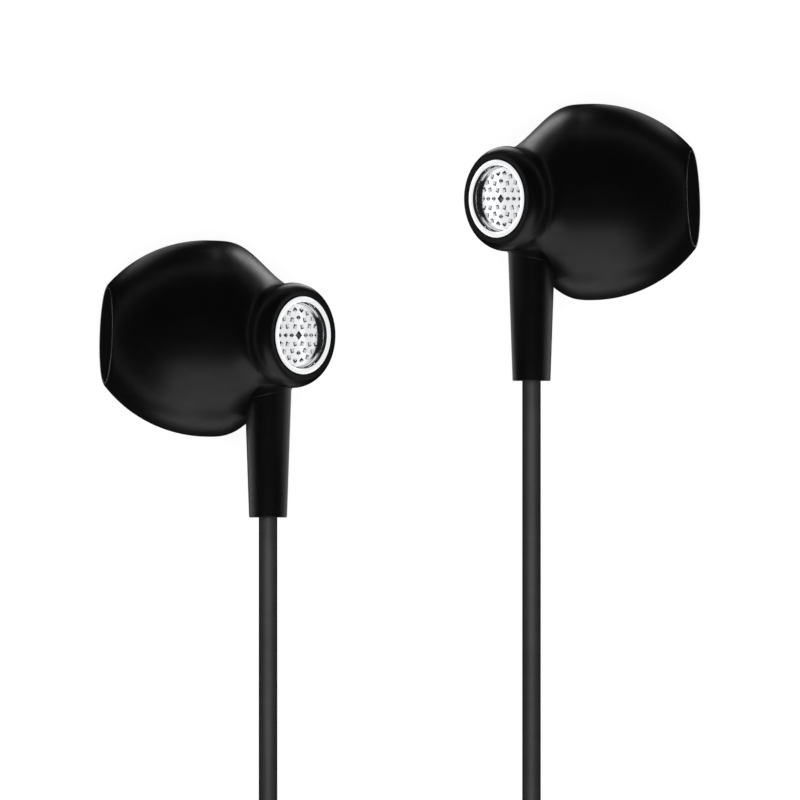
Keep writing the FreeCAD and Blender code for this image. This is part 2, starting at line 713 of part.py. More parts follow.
# ---- splitter and plug ---------------------------------------------------------------------------
def splitter():
    """Moulded Y joint: a flat oval where the branches enter, a round end where the main cord leaves."""

    def oval(y, width, height):
        half = (width - height) / 2
        centre = Vector(SPLITTER_X, y, splitter_height)
        bottom = height / 2
        signs = ((-1, -1), (1, -1), (1, 1), (-1, 1))
        corners = [centre + X * (half * a) + Z * (bottom * b) for a, b in signs]
        right = arc_edge(corners[1], centre + X * (half + bottom), corners[2])
        left = arc_edge(corners[3], centre - X * (half + bottom), corners[0])
        lower = Part.LineSegment(corners[0], corners[1]).toShape()
        upper = Part.LineSegment(corners[2], corners[3]).toShape()
        return Part.Wire([lower, right, upper, left])

    end_size = 2 * SPLITTER_END_RADIUS
    sections = [
        oval(SPLITTER_TOP, SPLITTER_EDGE_WIDTH, SPLITTER_EDGE_HEIGHT),
        oval(SPLITTER_TOP - SPLITTER_EDGE, SPLITTER_WIDTH, SPLITTER_HEIGHT),
        oval(SPLITTER_TOP - SPLITTER_WAIST, SPLITTER_WIDTH, SPLITTER_HEIGHT),
        oval(splitter_end, end_size + SPLITTER_END_FLAT, end_size),
    ]
    return Part.makeLoft(sections, True, True)


contact_start = RELIEF_LENGTH + PLUG_BODY_LENGTH
sleeve_end = contact_start + SLEEVE_LENGTH
ring_start = sleeve_end + INSULATOR_LENGTH
ring_end = ring_start + CONTACT_RING_LENGTH
tip_start = ring_end + INSULATOR_LENGTH
tip_end = tip_start + TIP_LENGTH


def plug_relief():
    """Stepped strain relief with grooves between its ribs."""
    outline = [(0, 0)]
    pitch = RELIEF_LENGTH / RELIEF_RIBS
    growth = (RELIEF_END_RADIUS - RELIEF_START_RADIUS) / (RELIEF_RIBS - 1)
    for index in range(RELIEF_RIBS):
        radius = RELIEF_START_RADIUS + growth * index
        start = pitch * index
        rib_end = start + pitch * RIB_SHARE
        outline += [(start, radius), (rib_end, radius)]
        if index < RELIEF_RIBS - 1:
            outline += [(rib_end, radius - RELIEF_GROOVE), (start + pitch, radius - RELIEF_GROOVE)]
    outline += [(RELIEF_LENGTH, RELIEF_END_RADIUS), (RELIEF_LENGTH, 0)]
    return revolve(outline)


def plug_body():
    """Moulded grip with a chamfer at each end."""
    end = contact_start
    return revolve([
        (RELIEF_LENGTH, 0), (RELIEF_LENGTH, PLUG_BODY_RADIUS - PLUG_EDGE),
        (RELIEF_LENGTH + PLUG_EDGE, PLUG_BODY_RADIUS), (end - PLUG_EDGE, PLUG_BODY_RADIUS),
        (end, PLUG_BODY_RADIUS - PLUG_EDGE), (end, 0),
    ])


def plug_sleeve():
    return disc(PLUG_RADIUS, contact_start, sleeve_end)


def plug_insulators():
    first = disc(PLUG_RADIUS, sleeve_end, ring_start)
    second = disc(PLUG_RADIUS, ring_end, tip_start)
    return Part.makeCompound([first, second])


def plug_ring():
    return disc(PLUG_RADIUS, ring_start, ring_end)


def plug_tip():
    """Contact tip with its latch groove and blunt cone."""
    land = tip_start + TIP_LAND
    groove = land + TIP_GROOVE
    return revolve([
        (tip_start, 0), (tip_start, PLUG_RADIUS), (land, PLUG_RADIUS), (groove, TIP_NECK_RADIUS),
        (groove + TIP_GROOVE, TIP_SHOULDER_RADIUS), (tip_end, TIP_END_RADIUS), (tip_end, 0),
    ])


# ---- writing the nodes ---------------------------------------------------------------------------
housing = {
    "front_shell": front_shell(),
    "rear_shell": rear_shell(),
    "rear_cap": rear_cap(),
    "nozzle_ring": nozzle_ring(),
    "nozzle_grille": grille(),
    "acoustic_mesh": acoustic_mesh(),
    "stem": stem(),
    "cord_anchor": cord_anchor(),
}
driver = {
    "driver_frame": driver_frame,
    "magnet_cup": magnet_cup,
    "magnet": magnet,
    "top_plate": top_plate,
    "voice_coil": voice_coil,
    "dome": dome,
    "surround": surround,
    "clamp_ring": clamp_ring,
    "damping_felt": damping_felt,
    "terminal_board": terminal_board,
}
bud = dict(housing)
for piece, make in driver.items():
    bud[piece] = moved(make(), driver_place)

left_place = Vector(-BUD_SPACING / 2, LEFT_BUD_Y, rest_height)
right_place = Vector(BUD_SPACING / 2, LEFT_BUD_Y + BUD_OFFSET, rest_height)
nodes = {}
for piece, shape in bud.items():
    left = shape.copy()
    left.translate(left_place)
    nodes["left_" + piece] = left
    right = shape.mirror(Vector(0, 0, 0), X)
    right.translate(right_place)
    nodes["right_" + piece] = right

routes = {
    "left_cord": (left_cord_route, BRANCH_DIAMETER),
    "right_cord": (right_cord_route, BRANCH_DIAMETER),
    "left_tail": (left_tail_route, BRANCH_DIAMETER),
    "right_tail": (right_tail_route, BRANCH_DIAMETER),
    "main_cord": (main_cord_route, MAIN_DIAMETER),
    "plug_cord": (plug_cord_route, MAIN_DIAMETER),
}
for piece, (points, diameter) in routes.items():
    nodes[piece] = tube(route_edges(points, piece), diameter, piece)
for piece, coil in (("left_coil", left_coil), ("right_coil", right_coil), ("main_coil", main_coil)):
    coil_edges = coil.edges()
    nodes[piece] = tube(coil_edges, coil.diameter, piece)
    print(piece, "least gap to itself %.2f" % coil.least_gap(coil_edges))

nodes["splitter"] = splitter()
plug_place = Placement(Vector(PLUG_X, PLUG_TOP, PLUG_BODY_RADIUS), Rotation(Z, -90))
for make in (plug_relief, plug_body, plug_sleeve, plug_insulators, plug_ring, plug_tip):
    nodes[make.__name__] = moved(make(), plug_place)

for name, shape in nodes.items():
    shape.exportStep("parts/" + name + ".step")
print(len(nodes), "nodes")
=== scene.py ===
"""Wired half-in-ear earphones, dressed for close views: an add-on that is run as a script.

Lengths named here are in millimetres unless a name says metres; MM turns them into Blender's metres.
Each bud is shaped in its own frame, the left one as it lies and the right one as its mirror image, with
the driver axis along its body and the nozzle axis canted up from the table, and is then carried to its
place in the frame.
"""

import json
import math
import bmesh
import bpy
from mathutils import Matrix, Vector

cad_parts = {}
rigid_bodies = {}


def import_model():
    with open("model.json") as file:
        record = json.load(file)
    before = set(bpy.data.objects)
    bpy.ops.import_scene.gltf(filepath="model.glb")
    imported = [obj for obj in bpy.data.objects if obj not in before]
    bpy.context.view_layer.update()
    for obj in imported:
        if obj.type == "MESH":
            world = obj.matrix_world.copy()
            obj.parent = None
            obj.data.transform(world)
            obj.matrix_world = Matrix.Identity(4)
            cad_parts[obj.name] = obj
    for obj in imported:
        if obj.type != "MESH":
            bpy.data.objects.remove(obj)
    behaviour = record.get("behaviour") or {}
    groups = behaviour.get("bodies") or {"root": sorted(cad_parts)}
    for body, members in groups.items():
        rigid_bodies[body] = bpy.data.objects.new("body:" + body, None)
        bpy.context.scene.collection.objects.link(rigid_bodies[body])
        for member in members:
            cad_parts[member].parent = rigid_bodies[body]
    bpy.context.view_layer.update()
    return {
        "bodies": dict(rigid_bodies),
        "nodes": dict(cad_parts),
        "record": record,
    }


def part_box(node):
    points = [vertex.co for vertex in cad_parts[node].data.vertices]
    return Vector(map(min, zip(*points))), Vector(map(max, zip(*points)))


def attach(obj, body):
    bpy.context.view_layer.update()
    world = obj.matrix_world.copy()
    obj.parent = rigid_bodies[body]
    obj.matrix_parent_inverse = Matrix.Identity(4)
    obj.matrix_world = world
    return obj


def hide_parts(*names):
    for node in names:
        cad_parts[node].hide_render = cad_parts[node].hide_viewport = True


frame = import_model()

bl_info = {
    "name": "Wired Earphones",
    "version": (1, 0, 0),
    "blender": (4, 5, 0),
    "location": "View3D > Sidebar > Earphones",
    "description": "Builds the shells, nozzles, cords, plug and stage of a pair of wired earphones",
    "category": "Object",
}

MM = 0.001
X = Vector((1, 0, 0))
Y = Vector((0, 1, 0))
Z = Vector((0, 0, 1))
DOWN = Vector((0, 0, -1))
SIDES = ("left", "right")
AROUND = 128                  # mesh points round a bud
LIP_SWEEP = math.radians(70)  # how far the nozzle's end rounds over before its edge
LIP_LENGTH = 1.26             # along the nozzle, the length that rounds over
LIP_DROP = 0.62               # and how far the radius falls over it
REAR_ROWS = 34                # sections of a housing's skin: behind the widest one,
FRONT_ROWS = 48               # in front of it
LIP_ROWS = 15                 # and over the rounded end
CAP_SEAT = 0.6                # depth of the step that the rear cap lies in
WAVE_RADIANS = 20             # radians of a wave texture's sine in one unit at scale 1

# Bud frame: where the two axes stand
DRIVER_YAW = 7.5
DRIVER_ROLL = 2.0
NOZZLE_PITCH = 45.5
NOZZLE_AXIS_X = 0.86
MOUTH_X = 8.26
MOUTH_Y = 0.28
NECK_BACK = 2.3               # round neck behind the mouth
SHOULDER_REACH = 0.95         # how long the housing keeps the direction of its ends, away from the table
CHIN_REACH = 5.5              # the same towards the table
FULLNESS = 1.65               # exponent of the front's fall from body to neck
STEM_X = 5.26
STEM_END = 15.43

# Cords: how they are put away
TURN_GAP = 0.48
CORD_IN_STEM = 6.0
CORD_LEVEL = 3.6              # out of the stem, a cord keeps its height this far
CORD_LANDS = 18.6             # and lies on the table from here
SPLITTER_X = 10.5
SPLITTER_TOP = -85.0
SPLITTER_LENGTH = 9.0
SPLITTER_HEIGHT = 3.4
BRANCH_SPACING = 2.3
PLUG_X = 20.5
PLUG_TOP = -86.2
PLUG_BODY_RADIUS = 3.0
STRAIGHT_TO = -43.4           # the branch cords run straight down to here


# ---- sizes and colours a user may change ---------------------------------------------------------
def length(name, description, default):
    """A length in millimetres."""
    return bpy.props.FloatProperty(name=name, description=description, default=default, min=0.0, precision=3)


def colour(name, description, default):
    """An sRGB hex colour such as #101010."""
    return bpy.props.StringProperty(name=name, description=description, default=default, maxlen=7)


class EARPHONE_PG_bud(bpy.types.PropertyGroup):
    """Sizes of a bud, in millimetres."""

    body_radius: length("Body radius", "Radius of the widest section of a bud", 8.47)
    rear_length: length("Rear length", "From the widest section to the rear rim", 8.8)
    rear_rim_radius: length("Rear rim radius", "Radius of the rim round the cap", 4.3)
    wall: length("Wall", "Thickness of the moulded shells", 0.9)
    neck_radius: length("Neck radius", "Radius where the housing has become a round nozzle", 4.4)
    lip_radius: length("Lip radius", "Radius of the nozzle where its end rounds over", 4.55)
    cap_radius: length("Cap radius", "Radius of the rear cap", 4.0)
    stem_top_radius: length("Stem top radius", "Radius of the stem under the neck", 2.05)
    stem_end_radius: length("Stem end radius", "Radius of the stem where the cord leaves it", 1.64)


class EARPHONE_PG_nozzle(bpy.types.PropertyGroup):
    """Sizes of the nozzle's ring and grille, in millimetres."""

    ring_radius: length("Ring radius", "Outside radius of the plated ring", 3.38)
    bore_radius: length("Bore radius", "Radius of the opening in the ring", 2.72)
    ring_depth: length("Ring depth", "Depth of the ring in the mouth", 1.1)
    recess: length("Grille recess", "From the mouth to the face of the grille", 0.5)
    thickness: length("Grille thickness", "Thickness of the punched plate", 0.2)
    crown: length("Grille crown", "How far the middle of the plate stands forward of its edge", 0.1)
    hole: length("Hole", "Side of a punched square hole at the back of the plate", 0.22)
    flare: length("Flare", "How far a hole widens on each side towards the face of the plate", 0.09)
    centre_hole: length("Centre hole", "Side of the square hole in the middle", 0.56)
    pitch: length("Hole pitch", "Distance between rings of holes", 0.68)
    rings: bpy.props.IntProperty(
        name="Rings", description="Rings of holes round the middle", default=3, min=1, max=6)


class EARPHONE_PG_cord(bpy.types.PropertyGroup):
    """Sizes of the cords and the plug, in millimetres."""

    branch_diameter: length("Branch diameter", "Diameter of the cord from a bud to the splitter", 1.6)
    main_diameter: length("Main diameter", "Diameter of the cord from the splitter to the plug", 2.0)
    plug_radius: length("Contact radius", "Radius of the plug's contacts", 1.75)


class EARPHONE_PG_finish(bpy.types.PropertyGroup):
    """Colours of the finishes and of the table's painted shade, as sRGB hex values."""

    shell: colour("Shell", "Moulded plastic of the buds", "#050506")
    stem: colour("Stem", "Moulded elastomer of the stems and the plug", "#050506")
    cord: colour("Cord", "Extruded elastomer of the cords", "#282829")
    plating: colour("Plating", "Polished plating of the nozzle rings", "#EDEEF0")
    contact: colour("Contact", "Gold plating of the plug", "#E2BE74")
    floor: colour("Floor", "Table top under the object", "#767676")
    # painted shade: the table in a darker colour, for gloss close to the object
    floor_painted_shade: colour("Mirrored floor", "Table top as gloss close to it sees it", "#222222")


# ---- materials -----------------------------------------------------------------------------------
def linear(hex_colour):
    """Linear RGBA from an sRGB hex colour."""
    channels = [int(hex_colour[i:i + 2], 16) / 255 for i in (1, 3, 5)]
    return [c / 12.92 if c <= 0.04045 else ((c + 0.055) / 1.055) ** 2.4 for c in channels] + [1.0]


def add(tree, kind, sockets=None, **settings):
    """Adds a node, sets its settings and fills its sockets."""
    node = tree.nodes.new(kind)
    for key, value in settings.items():
        setattr(node, key, value)
    return fill(node, sockets or {})


def fill(node, sockets):
    """Fills sockets with values, or with links from other sockets; a node stands for its first output."""
    for key, value in sockets.items():
        if isinstance(value, bpy.types.Node):
            value = value.outputs[0]
        if isinstance(value, bpy.types.NodeSocket):
            node.id_data.links.new(value, node.inputs[key])
        else:
            node.inputs[key].default_value = value
    return node


def new_material(name):
    """An empty material, its node tree, its surface shader and a socket of object coordinates."""
    material = bpy.data.materials.new(name)
    material.use_nodes = True
    tree = material.node_tree
    tree.nodes.clear()
    shader = add(tree, "ShaderNodeBsdfPrincipled")
    add(tree, "ShaderNodeOutputMaterial", {"Surface": shader})
    return material, tree, shader, add(tree, "ShaderNodeTexCoord").outputs["Object"]


def per_mm(size):
    """Texture scale that gives features of this size in millimetres."""
    return 1 / (size * MM)


def varied(tree, place, size, low, high, detail=2.0):
    """A noise of that feature size, spread between two values."""
    noise = add(tree, "ShaderNodeTexNoise", {"Vector": place, "Scale": per_mm(size), "Detail": detail})
    return add(tree, "ShaderNodeMapRange", {
        "Value": noise.outputs["Fac"], "From Min": 0.3, "From Max": 0.7, "To Min": low, "To Max": high})


def toned(tree, place, size, hex_colour, lift):
    """A colour whose brightness wanders a little, over patches of that size."""
    wander = varied(tree, place, size, 1 - lift, 1 + lift)
    return add(tree, "ShaderNodeHueSaturation", {"Color": linear(hex_colour), "Value": wander})


def shaded(tree, hex_colour, height, lowest):
    """A colour that darkens to that share of itself where the height is least: painted shade in the hollows.
    """
    shade = add(tree, "ShaderNodeMapRange", {"Value": height, "To Min": lowest, "To Max": 1.0})
    return add(tree, "ShaderNodeHueSaturation", {"Color": linear(hex_colour), "Value": shade})


def bumped(tree, height, depth):
    """Bump whose full height is a depth in millimetres."""
    return add(tree, "ShaderNodeBump", {"Height": height, "Distance": depth * MM, "Strength": 1.0})


def moulded_plastic(name, hex_colour, gloss, coat):
    """Injection-moulded ABS: deep black, a soft gloss that wanders with the mould, a trace of orange peel."""
    material, tree, shader, place = new_material(name)
    fill(shader, {
        "Base Color": toned(tree, place, 3.0, hex_colour, 0.15),
        "Roughness": varied(tree, place, 0.9, gloss * 0.9, gloss * 1.1),
        "IOR": 1.53, "Coat Weight": coat, "Coat Roughness": 0.12,
        # mould texture, drawn at 0.25 mm so that it shows at arm's length
        "Normal": bumped(tree, varied(tree, place, 0.25, 0.0, 1.0), 0.0015)})
    return material


def moulded_elastomer(name, hex_colour, gloss):
    """Satin TPE: a softer sheen than the shells, with a fine even tooth from the spark-eroded mould."""
    material, tree, shader, place = new_material(name)
    fill(shader, {
        "Base Color": toned(tree, place, 2.0, hex_colour, 0.2),
        "Roughness": varied(tree, place, 0.5, gloss * 0.92, gloss * 1.08),
        "IOR": 1.5, "Normal": bumped(tree, varied(tree, place, 0.12, 0.0, 1.0, detail=4.0), 0.003)})
    return material


def extruded_elastomer(name, hex_colour):
    """Extruded TPE cord: matte, with faint lines drawn along it by the die."""
    material, tree, shader, place = new_material(name)
    stretch = add(tree, "ShaderNodeMapping", {
        "Vector": add(tree, "ShaderNodeUVMap"), "Scale": (2.0, 24.0, 1.0)})
    lines = add(tree, "ShaderNodeTexNoise", {"Vector": stretch, "Scale": 1.0, "Detail": 3.0})
    fill(shader, {
        "Base Color": toned(tree, place, 1.2, hex_colour, 0.1),
        "Roughness": varied(tree, place, 0.3, 0.46, 0.49),
        "IOR": 1.5, "Normal": bumped(tree, lines.outputs["Fac"], 0.0015)})
    return material


def polished_plating(name, hex_colour, gloss):
    """Bright chrome or gold on polished metal: mirror-like, with the faint unevenness that buffing leaves."""
    material, tree, shader, place = new_material(name)
    fill(shader, {
        "Metallic": 1.0, "Base Color": toned(tree, place, 0.8, hex_colour, 0.02),
        "Roughness": varied(tree, place, 0.4, gloss * 0.7, gloss * 1.3),
        "Normal": bumped(tree, varied(tree, place, 0.08, 0.0, 1.0, detail=3.0), 0.0006)})
    return material


def stamped_steel(name, hex_colour, gloss, grain):
    """Pressed or sintered metal: a grey satin with the grain of its stock."""
    material, tree, shader, place = new_material(name)
    fill(shader, {
        "Metallic": 1.0, "Base Color": toned(tree, place, grain * 3, hex_colour, 0.08),
        "Roughness": varied(tree, place, grain, gloss * 0.85, gloss * 1.15),
        "Normal": bumped(tree, varied(tree, place, grain, 0.0, 1.0), 0.002)})
    return material


def waves(tree, place, radian, direction, tilt):
    """Sine bands across a direction of a piece tilted about Y; radian is the length of one radian, in mm."""
    turned = add(tree, "ShaderNodeMapping", {"Vector": place, "Rotation": (0, math.radians(tilt), 0)})
    return add(tree, "ShaderNodeTexWave", {"Vector": turned, "Scale": per_mm(radian) / WAVE_RADIANS},
               bands_direction=direction).outputs["Fac"]


def woven_mesh(name, hex_colour, radian):
    """Woven steel acoustic mesh: crossing bright wires, with painted shade where one dips under the next."""
    material, tree, shader, place = new_material(name)
    weave = maths(tree, "MULTIPLY", *(waves(tree, place, radian, axis, NOZZLE_PITCH) for axis in "YZ"))
    fill(shader, {
        "Metallic": 0.85, "Base Color": shaded(tree, hex_colour, weave, 0.55), "Roughness": 0.35,
        "Normal": bumped(tree, weave, 0.03)})
    return material


def enamelled_winding(name, hex_colour, radian):
    """Voice coil: turns of enamelled copper wire side by side, glossy along each turn, with painted shade in
    the grooves between them.
    """
    material, tree, shader, place = new_material(name)
    turns = waves(tree, place, radian, "X", -DRIVER_YAW)
    fill(shader, {
        "Metallic": 0.9, "Base Color": shaded(tree, hex_colour, turns, 0.6), "Roughness": 0.28,
        "Normal": bumped(tree, turns, 0.03)})
    return material


def pressed_fibre(name, hex_colour, fibre):
    """Tuning paper or damping felt: matte, with short fibres lying every way."""
    material, tree, shader, place = new_material(name)
    fill(shader, {
        "Base Color": toned(tree, place, fibre, hex_colour, 0.15), "Roughness": 0.9, "Sheen Weight": 0.2,
        "Normal": bumped(tree, varied(tree, place, fibre, 0.0, 1.0, detail=6.0), 0.02)})
    return material


def make_materials():
    """Every finish of the object, by the name of the part that takes it."""
    finish = bpy.context.scene.earphone_finish
    return {
        "shell": moulded_plastic("Moulded_ABS_shell", finish.shell, 0.36, 0.0),
        "cap": moulded_plastic("Moulded_ABS_cap", finish.shell, 0.4, 0.0),
        "stem": moulded_elastomer("Moulded_TPE_stem", finish.stem, 0.38),
        "cord": extruded_elastomer("Extruded_TPE_cord", finish.cord),
        "plating": polished_plating("Polished_chrome_plating", finish.plating, 0.05),
        "grille": polished_plating("Stamped_bright_steel_grille", "#E4E5E7", 0.12),
        "contact": polished_plating("Gold_plated_contact", finish.contact, 0.09),
        "mesh": woven_mesh("Woven_steel_mesh", "#F2F2F2", 0.12),
        "insulator": moulded_plastic("Moulded_nylon_insulator", "#1B1B1C", 0.4, 0.0),
        "driver_plastic": moulded_plastic("Moulded_PBT_basket", "#2A2B2D", 0.5, 0.0),
        "steel": stamped_steel("Zinc_plated_pressed_steel", "#B9BBBD", 0.32, 0.3),
        "magnet": stamped_steel("Nickel_plated_sintered_magnet", "#C9C8C4", 0.22, 0.15),
        "brass": stamped_steel("Turned_brass_clamp", "#C9A24E", 0.25, 0.2),
        "copper": enamelled_winding("Enamelled_copper_winding", "#B5632E", 0.06),
        "film": moulded_plastic("Formed_PET_film", "#AE9A6C", 0.18, 0.3),
        "paper": pressed_fibre("Pressed_tuning_paper", "#E6E2D6", 0.1),
        "board": moulded_plastic("Glass_epoxy_board", "#14502B", 0.35, 0.3),
    }


finishes = {}


def finish_of(name):
    """The finish of that name; all are made when the first is asked for."""
    if not finishes:
        finishes.update(make_materials())
    return finishes[name]


# ---- mesh helpers --------------------------------------------------------------------------------
def new_piece(name, points, faces, finish, place=Matrix(), crease=35):
    """A closed mesh piece at the origin: outward faces, merged poles, smooth but for sharp edges."""
    mesh = bpy.data.meshes.new(name)
    mesh.from_pydata([place @ Vector(p) for p in points], [], faces)
    return finished(name, mesh, finish, crease)


def finished(name, mesh, finish, crease=35):
    """Welds a mesh, turns its faces outwards, shades it and links it to the scene as a piece."""
    shape = bmesh.new()
    shape.from_mesh(mesh)
    bmesh.ops.remove_doubles(shape, verts=shape.verts, dist=1e-7)
    bmesh.ops.recalc_face_normals(shape, faces=shape.faces)
    shape.to_mesh(mesh)
    shape.free()
    mesh.shade_smooth()
    mesh.set_sharp_from_angle(angle=math.radians(crease))
    mesh.materials.clear()
    mesh.materials.append(finish_of(finish))
    piece = bpy.data.objects.new(name, mesh)
    bpy.context.scene.collection.objects.link(piece)
    return piece


def skin(rings, looped=False):
    """Points and faces of a skin over rings of equally many points; looped joins last to first."""
    count = len(rings[0])
    points = [p for ring in rings for p in ring]
    faces = []
    last = len(rings) if looped else len(rings) - 1
    for row in range(last):
        here = row * count
        after = (row + 1) % len(rings) * count
        for i in range(count):
            j = (i + 1) % count
            faces.append((here + i, here + j, after + j, after + i))
    return points, faces


def ring(centre, across, along, count=AROUND):
    """An oval ring of points from its two half axes."""
    turns = [2 * math.pi * i / count for i in range(count)]
    return [centre + across * math.cos(a) + along * math.sin(a) for a in turns]


def softened(profile, radius, steps=5):
    """A profile of (x, r) corners with each inner corner rounded to about that radius."""
    soft = [Vector(profile[0])]
    for before, corner, after in zip(profile, profile[1:], profile[2:]):
        before, corner, after = Vector(before), Vector(corner), Vector(after)
        back = before - corner
        front = after - corner
        reach = min(radius, 0.45 * back.length, 0.45 * front.length)
        start = corner + back.normalized() * reach
        end = corner + front.normalized() * reach
        for step in range(steps + 1):
            t = step / steps
            soft.append(start * (1 - t) ** 2 + corner * (2 * t * (1 - t)) + end * t ** 2)
    soft.append(Vector(profile[-1]))
    return soft


def lathe(profile, count=96, looped=False):
    """A turned form about X from (x, r) points; an open profile starts and ends on the axis."""
    rings = [ring(X * x, Z * r, Y * r, count) for x, r in profile]
    return skin(rings, looped)


# ---- frames of a bud -----------------------------------------------------------------------------
def turn(degrees, axis):
    return Matrix.Rotation(math.radians(degrees), 4, axis)


driver_place = turn(-DRIVER_ROLL, "Z") @ turn(DRIVER_YAW, "Y")
driver_axis = driver_place @ X
driver_side = driver_place @ Z
driver_lift = driver_place @ Y
slope = math.tan(math.radians(NOZZLE_PITCH))
mouth = Vector((MOUTH_X, MOUTH_Y, (MOUTH_X - NOZZLE_AXIS_X) * slope))
nozzle_place = Matrix.Translation(mouth) @ turn(-NOZZLE_PITCH, "Y")
nozzle_axis = (turn(-NOZZLE_PITCH, "Y") @ X)
nozzle_side = (turn(-NOZZLE_PITCH, "Y") @ Z)
stem_place = Matrix.Translation((STEM_X, 0, (STEM_X - NOZZLE_AXIS_X) * slope)) @ turn(-90, "Z")


def bud_place(side):
    """From a bud's own millimetres to the frame's metres: the nozzle mount says where the bud is."""
    mount = next(m for m in frame["record"]["mounts"] if m["name"] == side + "_nozzle")
    mirror = Matrix.Diagonal((-MM if side == "right" else MM, MM, MM, 1))
    return Matrix.Translation(Vector(mount["pos_m"]) - mirror @ mouth) @ mirror


def on_root(piece, slot, *nodes):
    """Rides a piece on the body that carries everything fixed, in place of CAD nodes."""
    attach(piece, "root" if "root" in frame["bodies"] else next(iter(frame["bodies"])))
    if nodes:
        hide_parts(*nodes)
    return piece


# ---- cords: the routes that the solids follow ----------------------------------------------------
def coil_points(centre, middle_radius, turns, layers, start_angle, sense, diameter):
    """Points of a flat coil in layers, a straight lead at each end: the turns spiral in and out and climb."""
    pitch = diameter + TURN_GAP
    rate = pitch / (2 * math.pi)
    layer_angle = 2 * math.pi * turns / layers

    def at(share):
        angle = 2 * math.pi * turns * share
        layer = min(int(angle / layer_angle), layers - 1)
        inward = angle - layer * layer_angle
        if layer % 2:
            inward = layer_angle - inward
        nearest = round(angle / layer_angle)
        offset = angle - nearest * layer_angle
        height = layer * pitch
        soften = 0.0
        if 0 < nearest < layers and abs(offset) < math.pi / 2:
            climb = (offset + math.pi / 2) / math.pi
            height = (nearest - 1 + (1 - math.cos(math.pi * climb)) / 2) * pitch
            soften = rate * (offset ** 2 / math.pi + math.pi / 4 - abs(offset))
            if nearest % 2 == 0:
                soften = -soften
        radius = middle_radius + rate * layer_angle / 2 - rate * inward + soften
        heading = math.radians(start_angle) + sense * angle
        x, y = centre
        return Vector((x + radius * math.cos(heading), y + radius * math.sin(heading), diameter / 2 + height))

    count = math.ceil(16 * turns)
    points = [at(i / count) for i in range(count + 1)]
    lead_in = (points[0] - at(1e-4)).normalized() * diameter
    lead_out = (points[-1] - at(1 - 1e-4)).normalized() * diameter
    return [points[0] + lead_in] + points + [points[-1] + lead_out]


def cord_curve(name, points, diameter):
    """A round cord on one smooth curve whose control points are the route's, given in millimetres."""
    curve = bpy.data.curves.new(name, "CURVE")
    curve.dimensions = "3D"
    spline = curve.splines.new("NURBS")
    spline.points.add(len(points) - 1)
    for point, place in zip(spline.points, points):
        point.co = (*(place * MM), 1.0)
    spline.order_u = 3
    spline.use_endpoint_u = True
    spline.resolution_u = 10
    curve.bevel_depth = diameter * MM / 2
    curve.bevel_resolution = 6
    curve.use_fill_caps = True
    curve.materials.append(finish_of("cord"))
    cord = bpy.data.objects.new(name, curve)
    bpy.context.scene.collection.objects.link(cord)
    return cord


